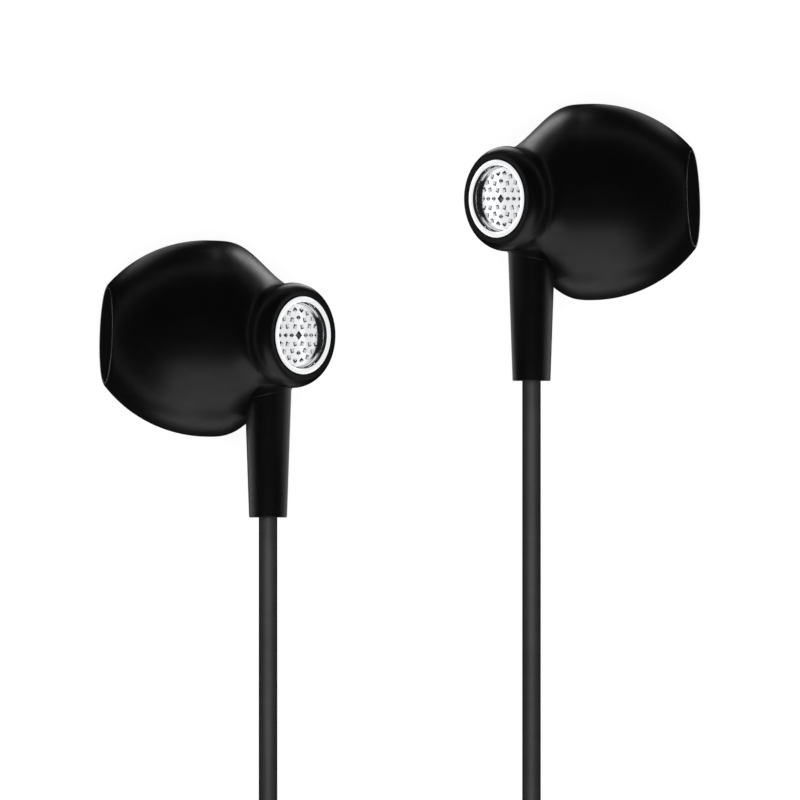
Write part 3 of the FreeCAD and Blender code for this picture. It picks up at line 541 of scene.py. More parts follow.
# ---- operators -----------------------------------------------------------------------------------
class EARPHONE_OT_stage(bpy.types.Operator):
    """Adds the camera over the table, the floor, an overhead lamp and the cards that the gloss mirrors"""

    bl_idname = "earphone.stage"
    bl_label = "Stage"

    def execute(self, context):
        scene = context.scene
        scene.view_settings.view_transform = "Standard"
        camera = bpy.data.objects.new("camera", bpy.data.cameras.new("camera"))
        camera.data.type = "ORTHO"
        camera.data.ortho_scale = VIEW_WIDTH * MM
        camera.data.clip_start = 0.01
        camera.data.clip_end = 20
        camera.location = VIEW_CENTRE * MM + Z * (CAMERA_HEIGHT * MM)
        scene.collection.objects.link(camera)
        scene.camera = camera
        self.make_world(scene)
        self.make_floor(scene)
        self.make_lights(scene)
        return {"FINISHED"}

    def make_world(self, scene):
        """A dim grey room, so that the dark shells stay dark; the camera looks past it at white."""
        world = bpy.data.worlds.new("studio")
        world.use_nodes = True
        tree = world.node_tree
        tree.nodes.clear()
        white = linear("#FFFFFF")
        room = add(tree, "ShaderNodeBackground", {"Color": white, "Strength": ROOM_LIGHT})
        bright = add(tree, "ShaderNodeBackground", {"Color": white, "Strength": 1.0})
        path = add(tree, "ShaderNodeLightPath")
        mixed = add(tree, "ShaderNodeMixShader", {0: path.outputs["Is Camera Ray"], 1: room, 2: bright})
        add(tree, "ShaderNodeOutputWorld", {"Surface": mixed})
        scene.world = world

    def make_floor(self, scene):
        """A grey table top that reads as white, with the object's shadow left on it."""
        material = bpy.data.materials.new("Matte_table")
        material.use_nodes = True
        tree = material.node_tree
        tree.nodes.clear()
        place = add(tree, "ShaderNodeTexCoord").outputs["Object"]
        matte = add(tree, "ShaderNodeBsdfDiffuse", {
            "Color": toned(tree, place, 40.0, scene.earphone_finish.floor, 0.01)})
        # painted shade: a darker table, seen only by gloss close to the object
        dark = add(tree, "ShaderNodeBsdfDiffuse", {"Color": linear(scene.earphone_finish.floor_painted_shade)})
        white = add(tree, "ShaderNodeEmission", {"Color": linear("#FFFFFF"), "Strength": FLOOR_GLOW})
        lit = add(tree, "ShaderNodeAddShader", {0: matte, 1: white})
        path = add(tree, "ShaderNodeLightPath").outputs
        # gloss and glass see white from afar; close to the object they see the table in a darker colour,
        # painted shade on top of the real shadow that the object casts there
        afar = add(tree, "ShaderNodeMapRange", {
            "Value": path["Ray Length"], "From Min": WHITE_FROM * MM, "From Max": WHITE_AT * MM},
            interpolation_type="SMOOTHSTEP")
        mirrored = add(tree, "ShaderNodeMixShader", {0: afar, 1: dark, 2: lit})
        glossy = maths(tree, "MAXIMUM", path["Is Glossy Ray"], path["Is Transmission Ray"])
        near = add(tree, "ShaderNodeMixShader", {0: glossy, 1: matte, 2: mirrored})
        mixed = add(tree, "ShaderNodeMixShader", {0: path["Is Camera Ray"], 1: near, 2: lit})
        add(tree, "ShaderNodeOutputMaterial", {"Surface": mixed})
        mesh = bpy.data.meshes.new("floor")
        half = FLOOR_SIDE * MM / 2
        corners = [(-half, -half, 0), (half, -half, 0), (half, half, 0), (-half, half, 0)]
        mesh.from_pydata(corners, [], [(0, 1, 2, 3)])
        mesh.materials.append(material)
        floor = bpy.data.objects.new("floor", mesh)
        floor.location.z = -FLOOR_DROP * MM
        scene.collection.objects.link(floor)

    def make_lights(self, scene):
        """Lights the set softly from above, and gives its gloss cards that each reach only some pieces."""
        span = OVERHEAD_SIDE
        overhead = self.card(scene, "overhead", OVERHEAD_PLACE, DOWN, span, span, OVERHEAD, 0)
        overhead.visible_glossy = False
        for name, (*stand, state, pieces) in SHARED_CARDS.items():
            self.flag(self.standing(scene, name, Vector(), 1, *stand), "", pieces, state)
        for side in SIDES:
            sign = -1 if side == "right" else 1
            centre = bud_place(side) @ Vector() / MM
            for name, (*stand, pieces) in STANDING_CARDS.items():
                card = self.standing(scene, side + "_" + name, centre, sign, *stand)
                self.flag(card, side + "_", pieces)
            for name, (x, y, width, depth, spin, radiance, pieces) in TABLE_CARDS.items():
                place = Vector((centre.x + sign * x, centre.y + y, CARD_HEIGHT))
                card = self.card(scene, side + "_" + name, place, Z, width, depth, radiance, sign * spin)
                self.flag(card, side + "_", pieces)

    def standing(self, scene, name, centre, sign, azimuth, elevation, distance, width, height, radiance):
        """A card that faces a place from a direction, mirrored where the sign is negative."""
        way = turn(azimuth, "Z") @ turn(-elevation, "Y") @ X
        way.x *= sign
        return self.card(scene, name, centre + way * distance, -way, width, height, radiance, 0)

    def card(self, scene, name, place, facing, width, height, radiance, spin):
        """A glowing rectangle, unseen by the camera: sizes and place in millimetres."""
        lamp = bpy.data.lights.new(name, "AREA")
        lamp.shape = "RECTANGLE"
        lamp.size = width * MM
        lamp.size_y = height * MM
        lamp.energy = radiance * math.pi * lamp.size * lamp.size_y
        light = bpy.data.objects.new(name, lamp)
        aim = facing.to_track_quat("-Z", "Y").to_matrix().to_4x4()
        light.matrix_world = Matrix.Translation(place * MM) @ aim @ turn(spin, "Z")
        light.visible_camera = False
        scene.collection.objects.link(light)
        return light

    def flag(self, light, prefix, pieces, state="INCLUDE"):
        """Lets a card shine only on the named pieces, or on all the others."""
        reached = bpy.data.collections.new(light.name + "_reach")
        for piece in pieces.split():
            reached.objects.link(bpy.data.objects[prefix + piece])
            reached.collection_objects[-1].light_linking.link_state = state
        light.light_linking.receiver_collection = reached


class EARPHONE_OT_cords(bpy.types.Operator):
    """Lays the two branch cords and the main cord, each from end to end through its put-away coil"""

    bl_idname = "earphone.cords"
    bl_label = "Cords"

    def execute(self, context):
        size = context.scene.earphone_cord
        branch = size.branch_diameter
        floor = branch / 2
        splitter_middle = SPLITTER_HEIGHT / 2
        splitter_end = SPLITTER_TOP - SPLITTER_LENGTH
        # centre, middle radius, turns, layers, start angle, sense and diameter
        coils = {
            "left": ((-12.6, -60.35), 9.0, 4 + 150 / 360, 2, 120, 1, branch),
            "right": ((12.6, -60.35), 9.0, 4 + 95 / 360, 2, 130, 1, branch),
        }
        landings = {"left": -46.4, "right": -46.8}
        entry = {"left": SPLITTER_X - BRANCH_SPACING / 2, "right": SPLITTER_X + BRANCH_SPACING / 2}
        tails = {
            "left": [(-5.5, -71.4, 2.6), (0.8, -73.2, floor), (5.6, -75.0, floor), (8.6, -78.2, 1.2),
                     (entry["left"], SPLITTER_TOP + 3.8, splitter_middle)],
            "right": [(9.2, -72.3, 1.9), (entry["right"], -78.5, 1.2)],
        }
        for side in SIDES:
            stem_end = bud_place(side) @ stem_place @ (X * STEM_END) / MM
            x, y, height = stem_end
            points = [Vector(p) for p in (
                (x, y + CORD_IN_STEM, height), (x, y + 0.2, height), (x, y - CORD_LEVEL, height),
                (x, y - CORD_LANDS, floor), (x, STRAIGHT_TO, floor), (x, landings[side], floor))]
            points += coil_points(*coils[side])
            points += [Vector(p) for p in tails[side]]
            points.append(Vector((entry[side], SPLITTER_TOP, splitter_middle)))
            cord = cord_curve(side + "_branch_cord", points, branch)
            on_root(cord, "cord_rubber", side + "_cord", side + "_coil", side + "_tail")
            self.declare(cord, stem_end * MM, points, branch, "fitting", ["y_splitter"])
        main = size.main_diameter
        low = main / 2
        start = Vector((SPLITTER_X, splitter_end, splitter_middle))
        points = [start, Vector((SPLITTER_X, splitter_end - 4.8, low)),
                  Vector((7.4, splitter_end - 8.9, low)), Vector((0.4, splitter_end - 10.54, low))]
        points += coil_points((-9.2, -90.4), 12.0, 10 + 190 / 360, 4, -80, -1, main)
        points += [Vector(p) for p in (
            (2.0, -75.2, 8.2), (9.0, -74.9, 6.3), (14.8, -75.6, 4.0), (18.9, -78.6, 3.1),
            (PLUG_X, -82.6, PLUG_BODY_RADIUS), (PLUG_X, PLUG_TOP, PLUG_BODY_RADIUS))]
        cord = cord_curve("main_cord_to_plug", points, main)
        on_root(cord, "cord_rubber", "main_cord", "main_coil", "plug_cord")
        self.declare(cord, start * MM, points, main, "plug",
                     ["strain_relief", "plug_grip", "plug_sleeve", "plug_insulators", "plug_ring",
                      "plug_point"])
        return {"FINISHED"}

    def declare(self, cord, leaves, points, diameter, far_end, carries):
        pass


class EARPHONE_OT_housings(bpy.types.Operator):
    """Moulds each bud's shells as one smooth walled skin from the cap's seat to the nozzle's mouth"""

    bl_idname = "earphone.housings"
    bl_label = "Housings"

    def execute(self, context):
        size = context.scene.earphone_bud
        for side in SIDES:
            points, faces = skin(self.rings(size), looped=True)
            shell = new_piece(side + "_housing", points, faces, "shell", bud_place(side), 40)
            on_root(shell, "body_plastic", side + "_front_shell", side + "_rear_shell")
        return {"FINISHED"}

    def rings(self, size):
        """Rings from the cap's seat along the outside, round the mouth, down the bore and back inside."""
        seat = size.rear_length - CAP_SEAT
        rim = size.rear_rim_radius
        seat_radius = size.cap_radius + 0.05
        rear = size.rear_length
        rows = [self.turned(x, r) for x, r in (
            (-seat, seat_radius), (-rear + 0.07, seat_radius), (-rear + 0.02, seat_radius + 0.02),
            (-rear, seat_radius + 0.07), (-rear, rim - 0.1), (-rear + 0.025, rim - 0.03))]
        for step in range(REAR_ROWS):
            x = -(rear - 0.1) * (1 - step / (REAR_ROWS - 1)) ** 1.15
            rows.append(self.turned(x, self.rear_radius(size, x)))
        rows += [self.oval(size, step / FRONT_ROWS, 0.0) for step in range(1, FRONT_ROWS + 1)]
        lip = size.lip_radius
        neck = size.neck_radius
        rise = lip - neck
        rows += [self.nozzle(x, r) for x, r in (
            (-2.05, neck + rise * 0.2), (-1.8, neck + rise * 0.5), (-1.55, neck + rise * 0.82))]
        for step in range(LIP_ROWS):
            angle = LIP_SWEEP * step / (LIP_ROWS - 1)
            rows.append(self.nozzle(
                -0.04 - LIP_LENGTH * (1 - math.sin(angle) / math.sin(LIP_SWEEP)),
                lip - LIP_DROP * (1 - math.cos(angle)) / (1 - math.cos(LIP_SWEEP))))
        mouth_radius = bpy.context.scene.earphone_nozzle.ring_radius + 0.03
        rows += [self.nozzle(x, r) for x, r in (
            (-0.012, lip - 0.67), (0.0, lip - 0.74), (0.0, mouth_radius + 0.2),
            (-0.03, mouth_radius + 0.05), (-0.1, mouth_radius), (-1.22, mouth_radius),
            (-1.22, 2.95), (-2.2, 2.95))]
        rows += [self.oval(size, step / 16, size.wall) for step in range(15, -1, -1)]
        for step in range(1, 13):
            x = -(rear - 1.2) * step / 12
            rows.append(self.turned(x, self.rear_radius(size, x) - 1.15 * size.wall))
        rows.append(self.turned(-seat + 0.3, size.cap_radius - 0.55))
        rows.append(self.turned(-seat, size.cap_radius - 0.55))
        return rows

    def turned(self, x, radius):
        return ring(driver_axis * x, driver_side * radius, driver_lift * radius)

    def nozzle(self, x, radius):
        return ring(mouth + nozzle_axis * x, nozzle_side * radius, Y * radius)

    def rear_radius(self, size, x):
        """The rear half's outline, an arc that leaves the widest section square to it."""
        fall = size.body_radius - size.rear_rim_radius
        bulge = (size.rear_length ** 2 + fall ** 2) / (2 * fall)
        return size.body_radius - bulge + math.sqrt(bulge ** 2 - x ** 2)

    def oval(self, size, t, wall):
        """A section between the widest circle and the neck, that much inside the outer face."""
        neck_centre = mouth - nozzle_axis * NECK_BACK
        body = size.body_radius
        neck = size.neck_radius
        upper, lower = (
            bezier(driver_side * body * sign, driver_side * body * sign + driver_axis * reach,
                   neck_centre + nozzle_side * neck * sign - nozzle_axis * reach,
                   neck_centre + nozzle_side * neck * sign, t)
            for sign, reach in ((1, SHOULDER_REACH), (-1, CHIN_REACH)))
        centre = (upper + lower) / 2
        across = (upper - lower) / 2
        fall = (1 + math.cos(math.pi * max(centre.x / neck_centre.x, 0.0) ** FULLNESS)) / 2
        along = driver_lift.lerp(Y, t) * (neck + (body - neck) * fall)
        return ring(centre, across - across.normalized() * wall, along - along.normalized() * wall)


def bezier(a, b, c, d, t):
    """Point of a cubic Bezier curve."""
    s = 1 - t
    return a * s ** 3 + b * (3 * s * s * t) + c * (3 * s * t * t) + d * t ** 3


class EARPHONE_OT_caps(bpy.types.Operator):
    """Turns the rear caps, with a low crown, a rounded rim and the skirt that plugs into the shell"""

    bl_idname = "earphone.caps"
    bl_label = "Rear caps"

    def execute(self, context):
        size = context.scene.earphone_bud
        back = -size.rear_length
        edge = size.cap_radius - 0.02
        step = back + CAP_SEAT
        profile = softened([
            (step, 0), (step, 2.6), (back + 2.0, 2.6), (back + 2.0, 3.2), (step, 3.2), (step, edge),
            (back + 0.02, edge), (back - 0.02, edge * 0.6), (back - 0.04, 0)], 0.12)
        for side in SIDES:
            cap = new_piece(side + "_cap", *lathe(profile, AROUND), "cap", bud_place(side) @ driver_place)
            on_root(cap, "cap_plastic", side + "_rear_cap")
        return {"FINISHED"}


class EARPHONE_OT_nozzles(bpy.types.Operator):
    """Makes the plated nozzle rings and the punched grilles inside them"""

    bl_idname = "earphone.nozzles"
    bl_label = "Nozzle rings and grilles"

    def execute(self, context):
        size = context.scene.earphone_nozzle
        outer = size.ring_radius
        bore = size.bore_radius
        seat = -size.recess - size.thickness
        profile = softened([
            (-size.ring_depth, bore - 0.3), (seat, bore - 0.3), (seat, bore), (-0.24, bore),
            (0.03, bore + 0.17), (0.03, outer), (-size.ring_depth, outer)], 0.07)
        for side in SIDES:
            place = bud_place(side) @ nozzle_place
            band = new_piece(side + "_ring", *lathe(profile, 160, looped=True), "plating", place, 50)
            on_root(band, "ring_chrome", side + "_nozzle_ring")
            plate = self.grille(side + "_grille", size, place)
            on_root(plate, "ring_chrome", side + "_nozzle_grille")
        return {"FINISHED"}

    def grille(self, name, size, place):
        """Bakes the grille tree and carries its plate into the mouth, lightly crowned."""
        mesh = baked(name, grille_tree(), {
            "Radius": size.bore_radius - 0.02, "Thickness": size.thickness, "Hole": size.hole,
            "Flare": size.flare, "Centre hole": size.centre_hole, "Pitch": size.pitch,
            "Finish": finish_of("grille")})
        edge = size.bore_radius ** 2
        for vertex in mesh.vertices:
            x, y, z = vertex.co
            crown = size.crown * (1 - (x * x + y * y) / edge)
            vertex.co = place @ Vector((z - size.recess - size.crown + crown, y, -x))
        return finished(name, mesh, "grille", 30)


def baked(name, tree, values):
    """The mesh that a geometry tree makes with these values in its named inputs."""
    carrier = bpy.data.objects.new(name, bpy.data.meshes.new(name))
    bpy.context.scene.collection.objects.link(carrier)
    modifier = carrier.modifiers.new(name, "NODES")
    modifier.node_group = tree
    for item in tree.interface.items_tree:
        if item.item_type == "SOCKET" and item.in_out == "INPUT" and item.name in values:
            modifier[item.identifier] = values[item.name]
    graph = bpy.context.evaluated_depsgraph_get()
    mesh = bpy.data.meshes.new_from_object(carrier.evaluated_get(graph))
    bpy.data.objects.remove(carrier)
    return mesh


def new_tree(name, sockets):
    """A geometry node group with named inputs; returns it, its input node and its output node."""
    tree = bpy.data.node_groups.new(name, "GeometryNodeTree")
    for label, (kind, default) in sockets.items():
        socket = tree.interface.new_socket(label, in_out="INPUT", socket_type=kind)
        if default is not None:
            socket.default_value = default
    tree.interface.new_socket("Geometry", in_out="OUTPUT", socket_type="NodeSocketGeometry")
    return tree, add(tree, "NodeGroupInput").outputs, add(tree, "NodeGroupOutput")


def maths(tree, operation, first, second):
    return add(tree, "ShaderNodeMath", {0: first, 1: second}, operation=operation).outputs["Value"]


def upright(tree, height):
    """A vector of that height."""
    return add(tree, "ShaderNodeCombineXYZ", {"Z": height})


def joined(tree, parts):
    """One geometry of several, linked in their order."""
    join = add(tree, "GeometryNodeJoinGeometry")
    for part in parts:
        fill(join, {"Geometry": part})
    return join


def close_tree(tree, geometry, given, output):
    """Makes a geometry real, gives it its finish and sends it out."""
    whole = add(tree, "GeometryNodeRealizeInstances", {"Geometry": geometry})
    coated = add(tree, "GeometryNodeSetMaterial", {"Geometry": whole, "Material": given["Finish"]})
    fill(output, {"Geometry": coated})
    return tree


def punch(tree, sides, top, bottom, depth):
    """The open side wall of a funnel or a disc."""
    return add(tree, "GeometryNodeMeshCone", {
        "Vertices": sides, "Radius Top": top, "Radius Bottom": bottom, "Depth": depth}, fill_type="NONE")


def grille_tree():
    """Punched disc, in millimetres: rings of square funnels on their corners about a larger hole."""
    real = "NodeSocketFloat"
    tree, given, output = new_tree("Punched_grille", {
        "Radius": (real, 2.7), "Thickness": (real, 0.2), "Hole": (real, 0.22), "Centre hole": (real, 0.56),
        "Flare": (real, 0.1), "Pitch": (real, 0.68), "Finish": ("NodeSocketMaterial", None)})
    thickness = given["Thickness"]
    wide = maths(tree, "ADD", given["Hole"], maths(tree, "MULTIPLY", given["Flare"], 2.0))
    # half a side to the corner of a square
    half_wide, half_hole, half_middle = (
        maths(tree, "MULTIPLY", side, math.sqrt(0.5)) for side in (wide, given["Hole"], given["Centre hole"]))
    funnel = punch(tree, 4, half_wide, half_hole, thickness)
    walls = [punch(tree, 128, given["Radius"], given["Radius"], thickness),
             punch(tree, 4, half_middle, half_middle, thickness)]
    position = add(tree, "GeometryNodeInputPosition")
    place = add(tree, "ShaderNodeSeparateXYZ", {"Vector": position}).outputs
    for count in range(1, bpy.context.scene.earphone_nozzle.rings + 1):
        reach = maths(tree, "MULTIPLY", given["Pitch"], count + 0.25)
        circle = add(tree, "GeometryNodeMeshCircle", {"Vertices": 6 * count, "Radius": reach})
        heading = upright(tree, maths(tree, "ARCTAN2", place["Y"], place["X"]))
        walls.append(add(tree, "GeometryNodeInstanceOnPoints", {
            "Points": circle, "Instance": funnel, "Rotation": heading}))
    real_walls = add(tree, "GeometryNodeRealizeInstances", {"Geometry": joined(tree, walls)})
    middle_height = maths(tree, "MULTIPLY", thickness, 0.5)
    sheets = []
    for operation, drop in (("GREATER_THAN", thickness), ("LESS_THAN", 0.0)):
        away = maths(tree, operation, middle_height, place["Z"])
        rims = add(tree, "GeometryNodeDeleteGeometry", {"Geometry": real_walls, "Selection": away})
        outlines = add(tree, "GeometryNodeMeshToCurve", {"Mesh": rims})
        sheet = add(tree, "GeometryNodeFillCurve", {"Curve": outlines})
        sheets.append(add(tree, "GeometryNodeTransform", {
            "Geometry": sheet, "Translation": upright(tree, drop)}))
    welded = add(tree, "GeometryNodeMergeByDistance", {
        "Geometry": joined(tree, [real_walls, *sheets]), "Distance": 0.002})
    finer = add(tree, "GeometryNodeSubdivideMesh", {"Mesh": welded, "Level": 1})
    lowered = add(tree, "GeometryNodeTransform", {
        "Geometry": finer, "Translation": upright(tree, maths(tree, "MULTIPLY", thickness, -1.0))})
    return close_tree(tree, lowered, given, output)


class EARPHONE_OT_stems(bpy.types.Operator):
    """Turns the stems and the housings' sockets that they stand in"""

    bl_idname = "earphone.stems"
    bl_label = "Stems"

    def execute(self, context):
        size = context.scene.earphone_bud
        top = size.stem_top_radius
        end = size.stem_end_radius
        cord = context.scene.earphone_cord.branch_diameter / 2
        stem = softened([
            (3.3, 0), (3.3, top - 0.1), (3.5, top), (STEM_END, end),
            (STEM_END, cord + 0.06), (STEM_END - 1.5, cord + 0.03), (STEM_END - 1.6, 0)], 0.12)
        for side in SIDES:
            place = bud_place(side) @ stem_place
            relief = new_piece(side + "_stem_relief", *lathe(stem), "stem", place)
            on_root(relief, "stem_rubber", side + "_stem")
            boss = new_piece(side + "_stem_socket", *skin(self.socket(top)), "shell", place, 60)
            on_root(boss, "body_plastic")
        return {"FINISHED"}

    def socket(self, top):
        """Rings of the socket, which flares into the neck and reaches further down on the body's side."""
        rows = [(2.4, 0, 0), (2.4, 3.0, 0)]
        for step in range(13):
            t = step / 12
            rows.append((2.8 + 2.0 * t, top + 0.05 + 0.84 * (1 - t) ** 2.6, 0.45 * t * t))
        rows += [(4.82, top + 0.04, 0.45), (4.83, top, 0.45), (4.8, top - 0.04, 0.45),
                 (3.8, top - 0.1, 0), (3.8, 0, 0)]
        rings = []
        for x, radius, lean in rows:
            level = ring(X * x, Z * radius, Y * radius, 96)
            rings.append([p - X * (lean * p.y / max(radius, 0.1)) for p in level])
        return rings


class EARPHONE_OT_splitter(bpy.types.Operator):
    """Moulds the Y splitter, a flat oval that narrows to the main cord"""

    bl_idname = "earphone.splitter"
    bl_label = "Splitter"

    def execute(self, context):
        low, high = (Vector(corner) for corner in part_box("splitter"))
        middle = (low + high) / 2
        half_width = (high.x - low.x) / 2
        half_height = (high.z - low.z) / 2
        depth = high.y - low.y
        rings = []
        for share, width, height in (
                (0.0, 0.0, 0.0), (0.0, 0.78, 0.74), (0.012, 0.86, 0.84), (0.04, 0.95, 0.94),
                (0.09, 0.99, 0.99), (0.16, 1.0, 1.0), (0.3, 1.0, 1.0), (0.42, 0.985, 0.99),
                (0.55, 0.92, 0.975), (0.68, 0.81, 0.95), (0.8, 0.69, 0.92), (0.9, 0.61, 0.9),
                (0.97, 0.575, 0.885), (0.992, 0.55, 0.85), (1.0, 0.5, 0.78), (1.0, 0.0, 0.0)):
            rings.append(self.slab(Vector((middle.x, high.y - depth * share, middle.z)),
                                   half_width * width, half_height * height))
        points, faces = skin(rings)
        splitter = new_piece("y_splitter", points, faces, "stem", crease=50)
        on_root(splitter, "moulded_rubber", "splitter")
        return {"FINISHED"}

    def slab(self, centre, half_width, half_height, count=64):
        """A flat oval ring: round at its ends, nearly straight above and below."""
        points = []
        for i in range(count):
            angle = 2 * math.pi * i / count
            c, s = math.cos(angle), math.sin(angle)
            points.append(centre + X * (half_width * math.copysign(abs(c) ** 0.7, c))
                          + Z * (half_height * math.copysign(abs(s) ** 0.85, s)))
        return points


class EARPHONE_OT_plug(bpy.types.Operator):
    """Makes the plug: ribbed strain relief, moulded grip and turned tip, on the contacts of the solids"""

    bl_idname = "earphone.plug"
    bl_label = "Plug"

    def execute(self, context):
        place = Matrix.Translation(Vector((PLUG_X, PLUG_TOP, PLUG_BODY_RADIUS)) * MM) @ turn(-90, "Z")
        place = place @ Matrix.Scale(MM, 4)
        on_root(self.relief(place), "moulded_rubber", "plug_relief")
        radius = PLUG_BODY_RADIUS
        grip = softened([
            (7.0, 0), (7.0, radius - 0.55), (7.5, radius), (12.6, radius), (13.0, radius - 0.18),
            (13.4, radius - 0.18), (13.8, radius), (19.6, radius), (20.0, radius - 0.4), (20.0, 0)], 0.3)
        on_root(new_piece("plug_grip", *lathe(grip), "stem", place), "moulded_rubber", "plug_body")
        contact = context.scene.earphone_cord.plug_radius
        tip = softened([
            (31.2, 0), (31.2, contact), (31.6, contact), (32.15, 1.25), (32.5, 1.5), (34.0, 0.45),
            (34.0, 0)], 0.18)
        on_root(new_piece("plug_point", *lathe(tip), "contact", place), "contact_plating", "plug_tip")
        return {"FINISHED"}

    def relief(self, place):
        """Bakes the strain relief tree: rounded ribs that grow towards the grip, on a tapered core."""
        mesh = baked("strain_relief", relief_tree(), {
            "Length": 7.0, "Start radius": 1.35, "End radius": 2.5, "Ribs": 3, "Finish": finish_of("stem")})
        mesh.transform(place @ turn(90, "Y"))
        return finished("strain_relief", mesh, "stem")


def relief_tree():
    """Ribbed strain relief about Z, in millimetres: equal rounded ribs strung on a tapered core."""
    real = "NodeSocketFloat"
    tree, given, output = new_tree("Ribbed_relief", {
        "Length": (real, 7.0), "Start radius": (real, 1.3), "End radius": (real, 2.4),
        "Ribs": ("NodeSocketInt", 6), "Finish": ("NodeSocketMaterial", None)})
    start, end, ribs = given["Start radius"], given["End radius"], given["Ribs"]
    core = add(tree, "GeometryNodeMeshCone", {
        "Vertices": 64, "Radius Bottom": maths(tree, "MULTIPLY", start, 0.86),
        "Radius Top": maths(tree, "MULTIPLY", end, 0.86), "Depth": given["Length"]})
    line = add(tree, "GeometryNodeMeshLine", {
        "Count": ribs, "Start Location": (0, 0, 0),
        "Offset": upright(tree, maths(tree, "DIVIDE", given["Length"], ribs))})
    wire = add(tree, "GeometryNodeCurvePrimitiveCircle", {"Resolution": 64, "Radius": 1.0})
    bead = add(tree, "GeometryNodeCurvePrimitiveCircle", {"Resolution": 12, "Radius": 0.28})
    rib = add(tree, "GeometryNodeCurveToMesh", {"Curve": wire, "Profile Curve": bead})
    share = maths(tree, "DIVIDE", add(tree, "GeometryNodeInputIndex"), ribs)
    growth = maths(tree, "MULTIPLY", maths(tree, "SUBTRACT", end, start), share)
    width = maths(tree, "SUBTRACT", maths(tree, "ADD", start, growth), 0.2)
    scale = add(tree, "ShaderNodeCombineXYZ", {"X": width, "Y": width, "Z": 1.25})
    strung = add(tree, "GeometryNodeInstanceOnPoints", {"Points": line, "Instance": rib, "Scale": scale})
    lifted = add(tree, "GeometryNodeTransform", {"Geometry": strung, "Translation": (0, 0, 0.45)})
    return close_tree(tree, joined(tree, [core, lifted]), given, output)


class EARPHONE_OT_carried(bpy.types.Operator):
    """Gives the solids that stay, inside the buds and on the plug, the finishes of their real materials"""

    bl_idname = "earphone.carried"
    bl_label = "Inner parts and contacts"

    def execute(self, context):
        for name, finish in CARRIED.items():
            for node in ([name] if name in frame["nodes"] else [side + "_" + name for side in SIDES]):
                mesh = frame["nodes"][node].data
                mesh.materials.clear()
                mesh.materials.append(finish_of(finish))
        return {"FINISHED"}


CARRIED = {
    "acoustic_mesh": "mesh", "cord_anchor": "stem", "driver_frame": "driver_plastic", "magnet_cup": "steel",
    "magnet": "magnet", "top_plate": "steel", "voice_coil": "copper", "dome": "film", "surround": "film",
    "clamp_ring": "brass", "damping_felt": "paper", "terminal_board": "board", "plug_sleeve": "contact",
    "plug_ring": "contact", "plug_insulators": "insulator",
}
VIEW_CENTRE = Vector((0.02, -7.73, 0))
VIEW_WIDTH = 68.96
CAMERA_HEIGHT = 400.0
ROOM_LIGHT = 0.02
FLOOR_GLOW = 0.9
FLOOR_DROP = 0.05             # under the set, so that no face lies on another
FLOOR_SIDE = 3000.0
WHITE_FROM = 120.0            # gloss begins to see the table white at this distance
WHITE_AT = 400.0
OVERHEAD = 9.0                # radiance at which a colour renders about as it is written
OVERHEAD_PLACE = Vector((0, -40, 900))
OVERHEAD_SIDE = 500.0
CARD_HEIGHT = 0.2             # at which the cards on the table lie
CORDS = "left_branch_cord right_branch_cord main_cord_to_plug"
# name: azimuth and elevation in degrees, distance, width and height in millimetres, radiance, and which
# pieces it lights alone or leaves out
SHARED_CARDS = {
    "front_wall": (-90, 30, 500, 580, 600, 0.72, "EXCLUDE", "left_ring right_ring left_grille right_grille"),
    "cord_top": (-90, 89, 600, 680, 900, 0.9, "INCLUDE", CORDS),
    "cord_front": (-90, 28, 600, 680, 560, 0.6, "INCLUDE", CORDS),
}
# the same for one bud, and the pieces that the card reaches; the right bud's azimuths are mirrored
STANDING_CARDS = {
    "nozzle_side": (0, 20, 24, 22, 22, 0.12, "housing stem_socket stem_relief"),
    "ring_white": (0, 25, 21, 18, 16, 1.0, "ring grille"),
    "stem_rear": (180, 4, 150, 120, 40, 0.5, "stem_relief"),
}
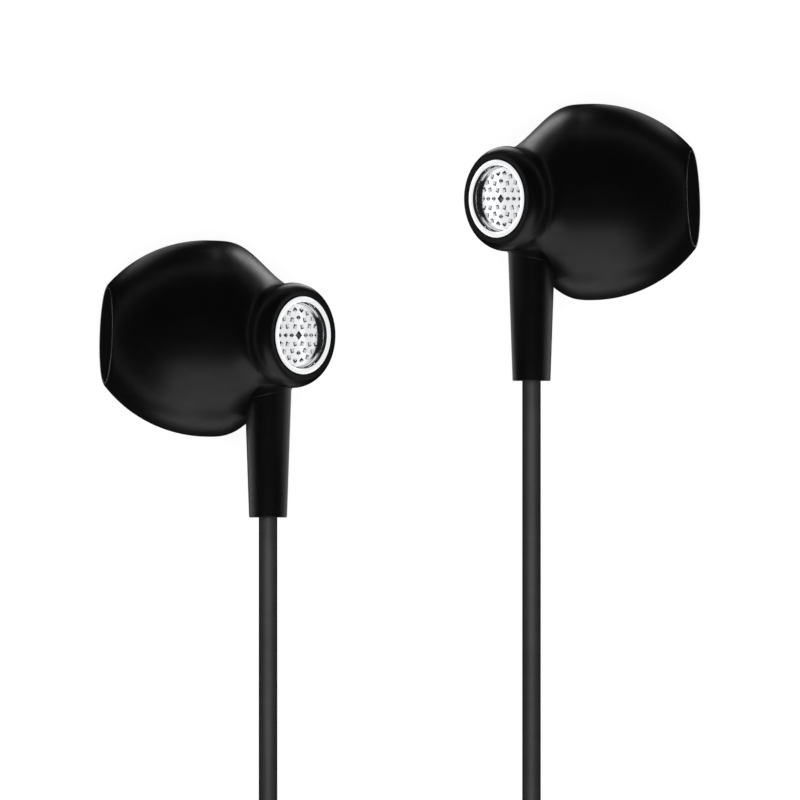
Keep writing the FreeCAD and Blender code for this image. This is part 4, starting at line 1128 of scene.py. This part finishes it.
# name: x and y from the bud's middle, width, depth, spin in degrees, radiance, pieces reached
TABLE_CARDS = {
    "slope_key": (11.6, 20.0, 18.0, 11.0, 62, 2.6, "housing"),
    "rear_strip": (-7.5, 12.6, 14.0, 6.0, 25, 0.4, "housing"),
    "rim_line": (-15.7, 0.0, 4.0, 8.0, 0, 2.0, "housing"),
    "belly": (3.0, -46.0, 32.0, 50.0, 0, 0.55, "housing"),
    "belly_far": (0.0, -171.0, 160.0, 200.0, 0, 0.65, "housing"),
    "stem_inner": (42.0, -9.0, 68.0, 50.0, 0, 0.68, "stem_relief stem_socket"),
    "stem_outer": (-37.0, -9.0, 60.0, 50.0, 0, 0.9, "stem_relief"),
    "ring_table": (52.0, 0.0, 80.0, 80.0, 0, 1.05, "ring grille"),
}


class EARPHONE_PT_panel(bpy.types.Panel):
    """Lists the earphones' sizes and builders"""

    bl_idname = "EARPHONE_PT_panel"
    bl_label = "Wired earphones"
    bl_space_type = "VIEW_3D"
    bl_region_type = "UI"
    bl_category = "Earphones"

    def draw(self, context):
        for group in (context.scene.earphone_bud, context.scene.earphone_nozzle, context.scene.earphone_cord,
                      context.scene.earphone_finish):
            box = self.layout.box()
            for name in group.__annotations__:
                box.prop(group, name)
        for operator in OPERATORS:
            self.layout.operator(operator.bl_idname)


GROUPS = {
    "earphone_bud": EARPHONE_PG_bud,
    "earphone_nozzle": EARPHONE_PG_nozzle,
    "earphone_cord": EARPHONE_PG_cord,
    "earphone_finish": EARPHONE_PG_finish,
}
OPERATORS = (
    EARPHONE_OT_cords, EARPHONE_OT_housings, EARPHONE_OT_caps, EARPHONE_OT_nozzles, EARPHONE_OT_stems,
    EARPHONE_OT_splitter, EARPHONE_OT_plug, EARPHONE_OT_carried, EARPHONE_OT_stage,
)


def register():
    for kind in (*GROUPS.values(), *OPERATORS, EARPHONE_PT_panel):
        bpy.utils.register_class(kind)
    for name, kind in GROUPS.items():
        setattr(bpy.types.Scene, name, bpy.props.PointerProperty(type=kind))


def unregister():
    for name in GROUPS:
        delattr(bpy.types.Scene, name)
    for kind in reversed((*GROUPS.values(), *OPERATORS, EARPHONE_PT_panel)):
        bpy.utils.unregister_class(kind)


def main():
    register()
    for operator in OPERATORS:
        group, name = operator.bl_idname.split(".")
        getattr(getattr(bpy.ops, group), name)()
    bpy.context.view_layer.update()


if __name__ == "__main__":
    main()
